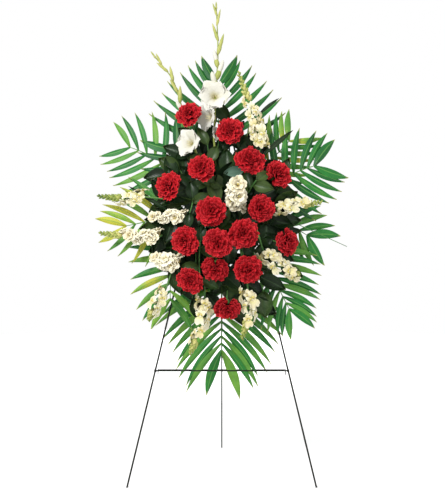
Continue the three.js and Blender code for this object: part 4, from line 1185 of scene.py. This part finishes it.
for number, flower in enumerate(gladioli):
    random = seeded(FIRST_GLADIOLUS_SEED + number)
    path = in_metres(flower["path"])
    points = stem_points(Vector(flower["anchor"]) / 1000, path, 20)
    radii = tapered(GLADIOLUS_RADIUS, len(points))
    pieces = [stem_of("gladiolus_stem", points, radii, sheath_green, 0.3)]
    for mark, turn, forward, size in flower["florets"]:
        way = way_out(way_along(path, mark), turn, forward)
        pieces += gladiolus_floret(centripetal(path, mark), way, size / 1000, random)
    for mark, turn, length, width in flower["buds"]:
        way = way_out(way_along(path, mark), turn, BUD_LEAN)
        root = centripetal(path, mark)
        shape = opening_bud if width > OPENING_WIDTH else gladiolus_bud
        length, width = length / 1000, width / 1000
        pieces.append(copy_of(shape, lay_spindle(root, way, length, width), 0.5))
        root -= way * SHEATH_DROP
        place = lay_spindle(root, way, SHEATH_SIZE[0] * length, SHEATH_SIZE[1] * width)
        pieces.append(copy_of(gladiolus_sheath, place, 0.25 + 0.3 * mark))
    settle(join_all(f"{flower['name']}_flower", pieces), "gladiolus", flower["name"])

# Snapdragons and stocks: two-lipped cream florets with a yellow palate, and full white rosettes.
# They stand close round the lower stem of each spike, with small green buds to its tip.
SPIKE_RADIUS = (0.0030, 0.0013)
LOBE_FAN = [(0, 0.45), (0.25, 0.7), (0.5, 0.98), (0.75, 1.04), (1, 0.78)]
LOBE_RUFFLES = [(0.9, -0.1, -0.7, 0.0, 0.7, -0.2, -0.9), (-0.8, 0.2, 0.8, 0.1, -0.6, 0.4, 1.0)]
cream_petal = petal_finish(
    "cream_petal",
    [(0.48, 0.4, 0.2), (0.58, 0.545, 0.38), (0.64, 0.62, 0.49)],
    root_tone_and_painted_shade=(0.43, 0.42, 0.15), edge_tone_and_painted_highlight=(0.65, 0.635, 0.52), edge_from=0.85,
    roughness=0.55, root_end=0.7,
)
palate_yellow = petal_finish(
    "palate_yellow",
    [(0.42, 0.34, 0.07), (0.48, 0.41, 0.13), (0.53, 0.47, 0.24)],
    root_tone_and_painted_shade=(0.4, 0.32, 0.07), edge_tone_and_painted_highlight=(0.54, 0.48, 0.26), edge_from=0.9,
    roughness=0.6,
)
stock_white = petal_finish(
    "stock_petal",
    [(0.55, 0.48, 0.31), (0.69, 0.65, 0.49), (0.76, 0.73, 0.6)],
    # Painted shade: the brownish root colour darkens the crevices of each floret
    root_tone_and_painted_shade=(0.36, 0.28, 0.1), edge_tone_and_painted_highlight=(0.78, 0.76, 0.64), edge_from=0.9,
    roughness=0.55, root_end=0.75,
)
snapdragon_lobes = [
    fan_petal(
        "snapdragon_lobe", 6, 4, LOBE_FAN, pattern,
        depth=0.12, rounding=0.6, fringe=0.01, thickness=0.03, finish=cream_petal,
    )
    for pattern in LOBE_RUFFLES
]
stock_petals = [
    fan_petal(
        "stock_petal", 6, 4, LOBE_FAN, pattern,
        depth=0.15, rounding=0.5, fringe=0.01, thickness=0.03, finish=stock_white,
    )
    for pattern in LOBE_RUFFLES
]
snapdragon_tube = spindle(
    "snapdragon_tube", 10, 7, [(0, 0.3), (0.2, 0.55), (0.5, 0.8), (0.85, 1.0), (1, 0.8)], cream_petal
)
palate = spindle("palate", 8, 6, [(0, 0.5), (0.5, 1), (0.9, 0.6), (1, 0)], palate_yellow)
spike_calyx = spindle(
    "spike_calyx", 8, 6, [(0, 0.4), (0.3, 0.9), (0.6, 1), (0.9, 0.9), (1, 0.7)], stem_green
)
spike_bud = spindle(
    "spike_bud", 8, 7, [(0, 0.4), (0.2, 0.8), (0.5, 1), (0.8, 0.62), (0.93, 0.3), (1, 0)], sheath_green
)
# The lowest share of each stem, "full", bears open florets, and the rest has sets of buds. Sizes are
# those of the first and the last floret, in millimetres.
spikes = [
    {"name": "snapdragon_upper_right", "count": 9, "size": (36, 27), "full": 0.66, "buds": 4,
     "path": [(122, -100, 176), (100, -104, 270), (53, -92, 416)], "anchor": (48, -60, 30)},
    {"name": "snapdragon_left", "count": 4, "size": (34, 24), "full": 0.5, "buds": 4,
     "bud_tints": (0.2, -0.2),
     "path": [(-235, -112, 20), (-300, -106, 16), (-377, -98, 24)], "anchor": (-92, -80, 10)},
    {"name": "snapdragon_right", "count": 5, "size": (36, 26), "full": 0.58, "buds": 3,
     "path": [(168, -104, -12), (230, -104, -6), (305, -96, 6)], "anchor": (84, -62, -4)},
    {"name": "snapdragon_low_left", "count": 6, "size": (34, 28), "full": 0.72, "buds": 3,
     "path": [(-52, -100, -290), (-60, -96, -370), (-95, -86, -456)], "anchor": (-45, -60, -26)},
    {"name": "snapdragon_low_right", "count": 5, "size": (36, 26), "full": 0.6, "buds": 3,
     "path": [(80, -104, -266), (82, -102, -335), (62, -92, -410)], "anchor": (50, -62, -28)},
    {"name": "snapdragon_far_left", "count": 4, "size": (34, 28), "full": 0.62, "buds": 3,
     "path": [(-170, -100, -262), (-200, -96, -310), (-221, -88, -353)], "anchor": (-92, -64, -22)},
    {"name": "snapdragon_far_right", "count": 6, "size": (34, 30), "full": 0.85, "buds": 2,
     "path": [(126, -122, -148), (175, -114, -194), (232, -98, -220)], "anchor": (94, -66, -20)},
    {"name": "stock_left", "count": 6, "size": (38, 30), "full": 0.52, "buds": 4,
     "path": [(-190, -112, -104), (-290, -104, -100), (-371, -94, -90)], "anchor": (-88, -64, -14)},
    {"name": "stock_upper_left", "count": 5, "size": (34, 30), "full": 0.9, "buds": 1,
     "path": [(-112, -122, -44), (-160, -118, -42), (-215, -106, -44)], "anchor": (-70, -60, -10)},
    {"name": "stock_middle", "count": 5, "size": (47, 42), "full": 0.95, "buds": 1,
     "path": [(44, -128, -14), (44, -150, 18), (46, -166, 52)], "anchor": (30, -60, 2)},
    {"name": "stock_lower_left", "count": 5, "size": (40, 34), "full": 0.8, "buds": 2,
     "path": [(-132, -116, -186), (-170, -112, -180), (-215, -98, -166)], "anchor": (-98, -66, -14)},
]
FIRST_SPIKE_SEED = 501
FLORET_DRAWS = 6
FIRST_FLORET = 0.02
LAST_BUD = 0.995
FLORET_TURN = 1.75
FRONT_TURNS = 2.9
FLORET_LEAN = 0.3
TUCKED_TURN = 1.5
TUCKED_SIZE = 0.88
SPIKE_BUD_LEAN = 1.1
BUDS_A_SET = 5
BUD_LENGTHS = (0.021, 0.010)
BUD_WIDTHS = (0.014, 0.007)
BUD_TINTS = (0.5, 0.15)
CALYX_DROP = 0.002
SNAPDRAGON_LOBES = [
    (-0.4, 0.84, 0.36, 0.58), (0.36, 0.78, 0.28, 0.56),
    (2.2, 0.58, 0.02, 0.4), (3.14, 0.64, -0.06, 0.44), (-2.2, 0.54, 0.06, 0.4),
]
STOCK_RINGS = [(5, 0.62, 0.46, 0.62), (4, 0.37, 0.66, 0.465)]
LOBE_CURL = -0.3
STOCK_CURL = -0.2


def snapdragon_floret(root, way, size, start, tint, along):
    """A tube, two lobes standing up towards the tip of the spike, three turned down, and a palate."""
    side = way.cross(along).normalized()
    up = Quaternion(way, 0.5 * math.sin(start)) @ side.cross(way)
    side = way.cross(up)
    pieces = [copy_of(snapdragon_tube, lay_spindle(root, way, 0.62 * size, 0.42 * size), tint)]
    mouth = root + way * (0.46 * size)
    for turn, reach, rise, width in SNAPDRAGON_LOBES:
        out = up * math.cos(turn) + side * math.sin(turn)
        path = petal_path(mouth, way, out, size, (0, 0.1), (0.34, 0.16), (rise, reach))
        place = lay_petal(path, way.cross(out), width * size, LOBE_CURL)
        pieces.append(copy_of(snapdragon_lobes[len(pieces) % 2], place, tint))
    for hand in (-1, 1):
        lip = mouth - up * (0.1 * size) + side * (0.13 * size * hand)
        pieces.append(copy_of(palate, lay_spindle(lip, way, 0.28 * size, 0.26 * size), tint))
    place = lay_spindle(root - way * CALYX_DROP, way, 0.2 * size, 0.3 * size)
    pieces.append(copy_of(spike_calyx, place, 0.4))
    return pieces


def stock_floret(root, way, size, start, tint, along):
    """Two rings of ruffled petals round a yellow eye. It is alike all round, so along isn't used."""
    pieces = []
    for level, (petals, reach, rise, width) in enumerate(STOCK_RINGS):
        for number in range(petals):
            out = round_axis(way, start + 0.5 * level + 2 * math.pi * number / petals)
            path = petal_path(root, way, out, size, (0, 0.04), (0.62, 0.3 * reach), (rise, reach))
            place = lay_petal(path, way.cross(out), width * size, STOCK_CURL)
            pieces.append(copy_of(stock_petals[(level + number) % 2], place, tint))
    place = lay_spindle(root + way * (0.4 * size), way, 0.22 * size, 0.14 * size)
    pieces.append(copy_of(palate, place, tint))
    place = lay_spindle(root - way * CALYX_DROP, way, 0.24 * size, 0.24 * size)
    pieces.append(copy_of(spike_calyx, place, 0.4))
    return pieces


def spike_florets(spike, path, floret, random):
    """The open florets, turning round the stem, with smaller ones tucked in between."""
    pieces = []
    count, full = spike["count"], spike["full"]
    for j in range(count):
        mark = blend_values((FIRST_FLORET, full), j / (count - 1))
        turn = 0.1 + ((j * FLORET_TURN + next(random) * 0.4) % FRONT_TURNS)
        size = blend_values(spike["size"], j / count) / 1000
        start = next(random) * math.pi
        draws = [next(random) for draw in range(FLORET_DRAWS)]
        size *= 0.88 + 0.26 * draws[0]
        turn += 0.5 * (draws[1] - 0.5)
        along = way_along(path, mark)
        way = way_out(along, turn, FLORET_LEAN)
        pieces += floret(centripetal(path, mark), way, size, start, 0.1 + 0.15 * (j % 4), along)
        if j < count - 1 and (floret is stock_floret or j % 2 == 0):
            mark += 0.5 * (full - FIRST_FLORET) / (count - 1)
            along = way_along(path, mark)
            way = way_out(along, (turn + TUCKED_TURN) % FRONT_TURNS, FLORET_LEAN)
            root = centripetal(path, mark)
            tint = 0.15 + 0.15 * (j % 3)
            pieces += floret(root, way, size * TUCKED_SIZE, start + 0.7, tint, along)
    return pieces


def spike_buds(spike, path):
    """The closed buds, smaller and greener up to the tip of the spike."""
    pieces = []
    count = BUDS_A_SET * spike["buds"]
    for j in range(count):
        share = j / (count - 1)
        mark = blend_values((spike["full"] + 0.03, LAST_BUD), share)
        turn = 0.3 + 1.15 * (j % 3) + 0.35 * (j // 3 % 2)
        way = way_out(way_along(path, mark), turn, SPIKE_BUD_LEAN)
        length = blend_values(BUD_LENGTHS, share)
        width = blend_values(BUD_WIDTHS, share)
        place = lay_spindle(centripetal(path, mark), way, length, width)
        tint = blend_values(spike.get("bud_tints", BUD_TINTS), share) + 0.2 * (j % 2)
        pieces.append(copy_of(spike_bud, place, tint))
    return pieces


for number, spike in enumerate(spikes):
    random = seeded(FIRST_SPIKE_SEED + number)
    kind = spike["name"].split("_")[0]
    floret = stock_floret if kind == "stock" else snapdragon_floret
    path = in_metres(spike["path"])
    points = stem_points(Vector(spike["anchor"]) / 1000, path, 16)
    pieces = [stem_of("spike_stem", points, tapered(SPIKE_RADIUS, len(points)))]
    pieces += spike_florets(spike, path, floret, random)
    pieces += spike_buds(spike, path)
    settle(join_all(f"{spike['name']}_spike", pieces), kind, spike["name"])

# Lemon leaf: broad dark leathery leaves on short woody twigs, packed between and behind the flowers.
# One leaf is modelled with a folded midrib and a wavy edge, then laid along each twig.
LEAF_STEM_RADIUS = 0.0020
LEAF_BOW = 0.006
TWIG_RADII = (0.0014, 0.0012, 0.0009)
LEAF_PROFILE = [
    (0, 0.06), (0.1, 0.46), (0.22, 0.8), (0.36, 0.98), (0.5, 1.0), (0.66, 0.86), (0.82, 0.55),
    (0.93, 0.24), (1, 0.02),
]
LEAF_COLUMNS = 6
LEAF_ROWS = 9
LEAF_WAVE = (0.10, 0.0, -0.05, -0.10, -0.05, 0.0, 0.10)
LEAF_RIPPLE = 0.03
LEAF_SAG = 0.15
SPRIG_MARKS = (0.1, 0.4, 0.7, 1.0)
SPRIG_OPENINGS = (25, 55)
SPRIG_LENGTHS = (0.075, 0.100)
SPRIG_WIDTHS = (0.042, 0.052)
FIRST_LEAFY_SEED = 701
side_veins = Effect("side_veins", {"Pairs": 7.0, "Slant": 0.9}, ["Veins"])
side_lag = side_veins.calculate("MULTIPLY", side_veins.from_middle, side_veins.given["Slant"])
side_phase = side_veins.calculate("SUBTRACT", side_veins.along, side_lag)
side_phase = side_veins.calculate("MULTIPLY", side_phase, side_veins.given["Pairs"])
side_saw = side_veins.calculate("PINGPONG", side_phase, 0.5)
side_veins.feed(side_veins.result["Veins"], side_veins.line(side_saw, 0.07))

dark_leaf = leaf_finish(
    "lemon_leaf",
    [(0.002, 0.007, 0.002), (0.008, 0.024, 0.005), (0.04, 0.068, 0.015)],
    rib_color=(0.02, 0.045, 0.014), tip_color=(0.03, 0.04, 0.01), count=2.0, roughness=0.34,
    gleam=0.18,
)
leaf_underside = leaf_finish(
    "lemon_leaf_underside",
    [(0.02, 0.05, 0.035), (0.045, 0.095, 0.07), (0.08, 0.14, 0.1)],
    rib_color=(0.07, 0.13, 0.09), tip_color=(0.06, 0.09, 0.05), count=2.0, roughness=0.5,
    gleam=0.18,
)
dark_leaf_veins = dark_leaf.add("ShaderNodeGroup", {"node_tree": side_veins.tree}, Pairs=8.0, Slant=0.9)
dark_leaf.feed(dark_leaf_veins.inputs["UV"], dark_leaf.place["UV"])
dark_leaf.relief(dark_leaf_veins.outputs["Veins"], strength=0.5, distance=0.0012, invert=True)

leaf_blade = flat_blade("lemon_leaf", LEAF_COLUMNS, LEAF_ROWS)
for row in range(LEAF_ROWS + 1):
    for column, lift in enumerate(LEAF_WAVE):
        ripple = LEAF_RIPPLE * math.sin(row * 1.7) if column in (0, LEAF_COLUMNS) else 0
        move_spot(leaf_blade, LEAF_COLUMNS, column, row, (0, 0, lift + ripple))
shape_rows(leaf_blade, LEAF_ROWS, lambda y: between(LEAF_PROFILE, y), lambda y: -LEAF_SAG * y * y)
leaf_shape = blade_done(leaf_blade, thickness=0.018, finish=dark_leaf)
turned_leaf_shape = leaf_shape.copy()
turned_leaf_shape.materials[0] = leaf_underside.material
# A leaf on the stem has its share of it, its tip and its width. Turned leaves and blades have a root,
# a tip and a width, on a twig of their own. Sprigs and bare twigs are given by their ends.
leafy_stems = [
    {"name": "lemon_leaf_upper", "anchor": (-22, -60, 32),
     "path": [(-34, -104, 72), (-38, -104, 130), (-44, -100, 186)],
     "leaves": [(0, (12, -116, 56), 46), (0, (-104, -108, 44), 34), (0.5, (-14, -104, 182), 36),
                (0, (-6, -112, 2), 46),
                (0.55, (-106, -110, 142), 36), (0.98, (-74, -98, 238), 34)],
     "sprigs": [(-100, -80, 150), (-10, -78, 205), (50, -84, 175), (20, -100, 90), (-75, -78, 200),
                (10, -108, 40), (-60, -106, 20), (-20, -106, 56), (-90, -104, 40), (26, -62, 270)]},
    {"name": "lemon_leaf_right", "anchor": (62, -64, 22),
     "path": [(80, -100, 30), (94, -140, 50), (104, -160, 62)],
     "leaves": [(0, (24, -98, 86), 42), (0, (56, -98, -52), 36), (0.3, (66, -112, 110), 34),
                (0.6, (156, -166, 34), 40), (0.98, (142, -140, 92), 34)],
     "sprigs": [(125, -80, 140), (165, -84, 70), (160, -84, 0), (150, -88, -60), (90, -84, 160),
                (90, -110, 10), (20, -108, -10), (70, -106, 56)],
     "turned": [((66, -118, 98), (6, -126, 92), 34)],
     "blades": [((124, -104, 149), (221, -100, 232), 17), ((116, -88, 286), (179, -84, 338), 11)],
     "bare": [(386, -70, -128)]},
    {"name": "lemon_leaf_left", "anchor": (-78, -64, 22),
     "path": [(-88, -112, 10), (-92, -124, -14), (-98, -130, -34)],
     "leaves": [(0, (-96, -116, 70), 40), (0.2, (-30, -112, 26), 38), (0.98, (-104, -134, -82), 34)],
     "sprigs": [(-160, -84, 90), (-175, -84, 10), (-175, -84, -70), (-150, -84, -130), (-130, -84, 110),
                (-60, -108, -40), (-150, -96, -40), (-130, -90, 40)],
     "blades": [((-156, -100, -27), (-289, -92, 58), 14)]},
    {"name": "lemon_leaf_lower_right", "anchor": (58, -70, -30),
     "path": [(98, -88, -150), (112, -84, -215), (128, -84, -270)],
     "leaves": [(0.02, (62, -96, -124), 38), (0.3, (172, -80, -156), 40), (0.55, (196, -84, -262), 46),
                (0.98, (132, -92, -350), 54)],
     "sprigs": [(60, -78, -230), (140, -74, -150), (30, -74, -290), (90, -76, -290), (150, -78, -100),
                (20, -96, -110), (40, -112, -60), (180, -84, -190)]},
    {"name": "lemon_leaf_lower", "anchor": (-42, -60, -30),
     "path": [(-66, -112, -118), (-68, -120, -176), (-66, -121, -236)],
     "leaves": [(0.02, (-62, -118, -64), 44), (0.2, (2, -118, -158), 40), (0.7, (-126, -118, -196), 36),
                (0.98, (-8, -122, -262), 32)],
     "sprigs": [(-50, -78, -270), (-120, -78, -220), (-10, -84, -200), (-140, -80, -150), (0, -78, -250),
                (-10, -90, -100), (-60, -96, -100), (-90, -84, -290), (-150, -84, -190)]},
]


def twig_to(anchor, end):
    """A twig from inside the foam to its end, and the place where it leaves the foam."""
    exit_point = foam_exit(anchor, end)
    points = [exit_point - (end - exit_point).normalized() * STEM_DEPTH, exit_point.lerp(end, 0.5), end]
    return stem_of("twig", points, TWIG_RADII), exit_point


def sprig(anchor, end, random):
    """A short twig with its leaves, set by turns on either side."""
    twig, exit_point = twig_to(anchor, end)
    pieces = [twig]
    along = (end - exit_point).normalized()
    for number, mark in enumerate(SPRIG_MARKS):
        side = 1 if number % 2 else -1
        root = exit_point.lerp(end, mark)
        turn = side * math.radians(blend_values(SPRIG_OPENINGS, next(random)))
        way = Quaternion(FRONT, turn) @ along
        way.y = 0.25 * (next(random) - 0.6)
        tip = root + way.normalized() * blend_values(SPRIG_LENGTHS, next(random))
        width = blend_values(SPRIG_WIDTHS, next(random))
        place = lay_leaf(root, tip, width, forward=LEAF_BOW, roll=0.9 * (next(random) - 0.5))
        pieces.append(copy_of(leaf_shape, place, 0.6 * next(random) ** 2))
    return pieces


def single_leaf(anchor, root, tip, width, shape, tint):
    """One leaf on a twig of its own."""
    root, tip = in_metres((root, tip))
    place = lay_leaf(root, tip, width / 1000, forward=LEAF_BOW)
    return [twig_to(anchor, root)[0], copy_of(shape, place, tint)]


for number, stem in enumerate(leafy_stems):
    random = seeded(FIRST_LEAFY_SEED + number)
    anchor = Vector(stem["anchor"]) / 1000
    path = in_metres(stem["path"])
    points = stem_points(anchor, path, 12)
    pieces = [stem_of("lemon_leaf_stem", points, [LEAF_STEM_RADIUS] * len(points))]
    for mark, tip, width in stem["leaves"]:
        roll = 0.3 * (next(random) - 0.5)
        place = lay_leaf(
            centripetal(path, mark), Vector(tip) / 1000, width / 1000, forward=LEAF_BOW, roll=roll
        )
        pieces.append(copy_of(leaf_shape, place, 0.1 + 0.6 * next(random)))
    for end in in_metres(stem["sprigs"]):
        pieces += sprig(anchor, end, random)
    for leaf in stem.get("turned", []):
        pieces += single_leaf(anchor, *leaf, turned_leaf_shape, 0.5)
    for leaf in stem.get("blades", []):
        pieces += single_leaf(anchor, *leaf, leaf_shape, 0.15)
    for end in in_metres(stem.get("bare", [])):
        pieces.append(twig_to(anchor, end)[0])
    settle(join_all(f"{stem['name']}_twigs", pieces), "lemon_leaf", stem["name"])
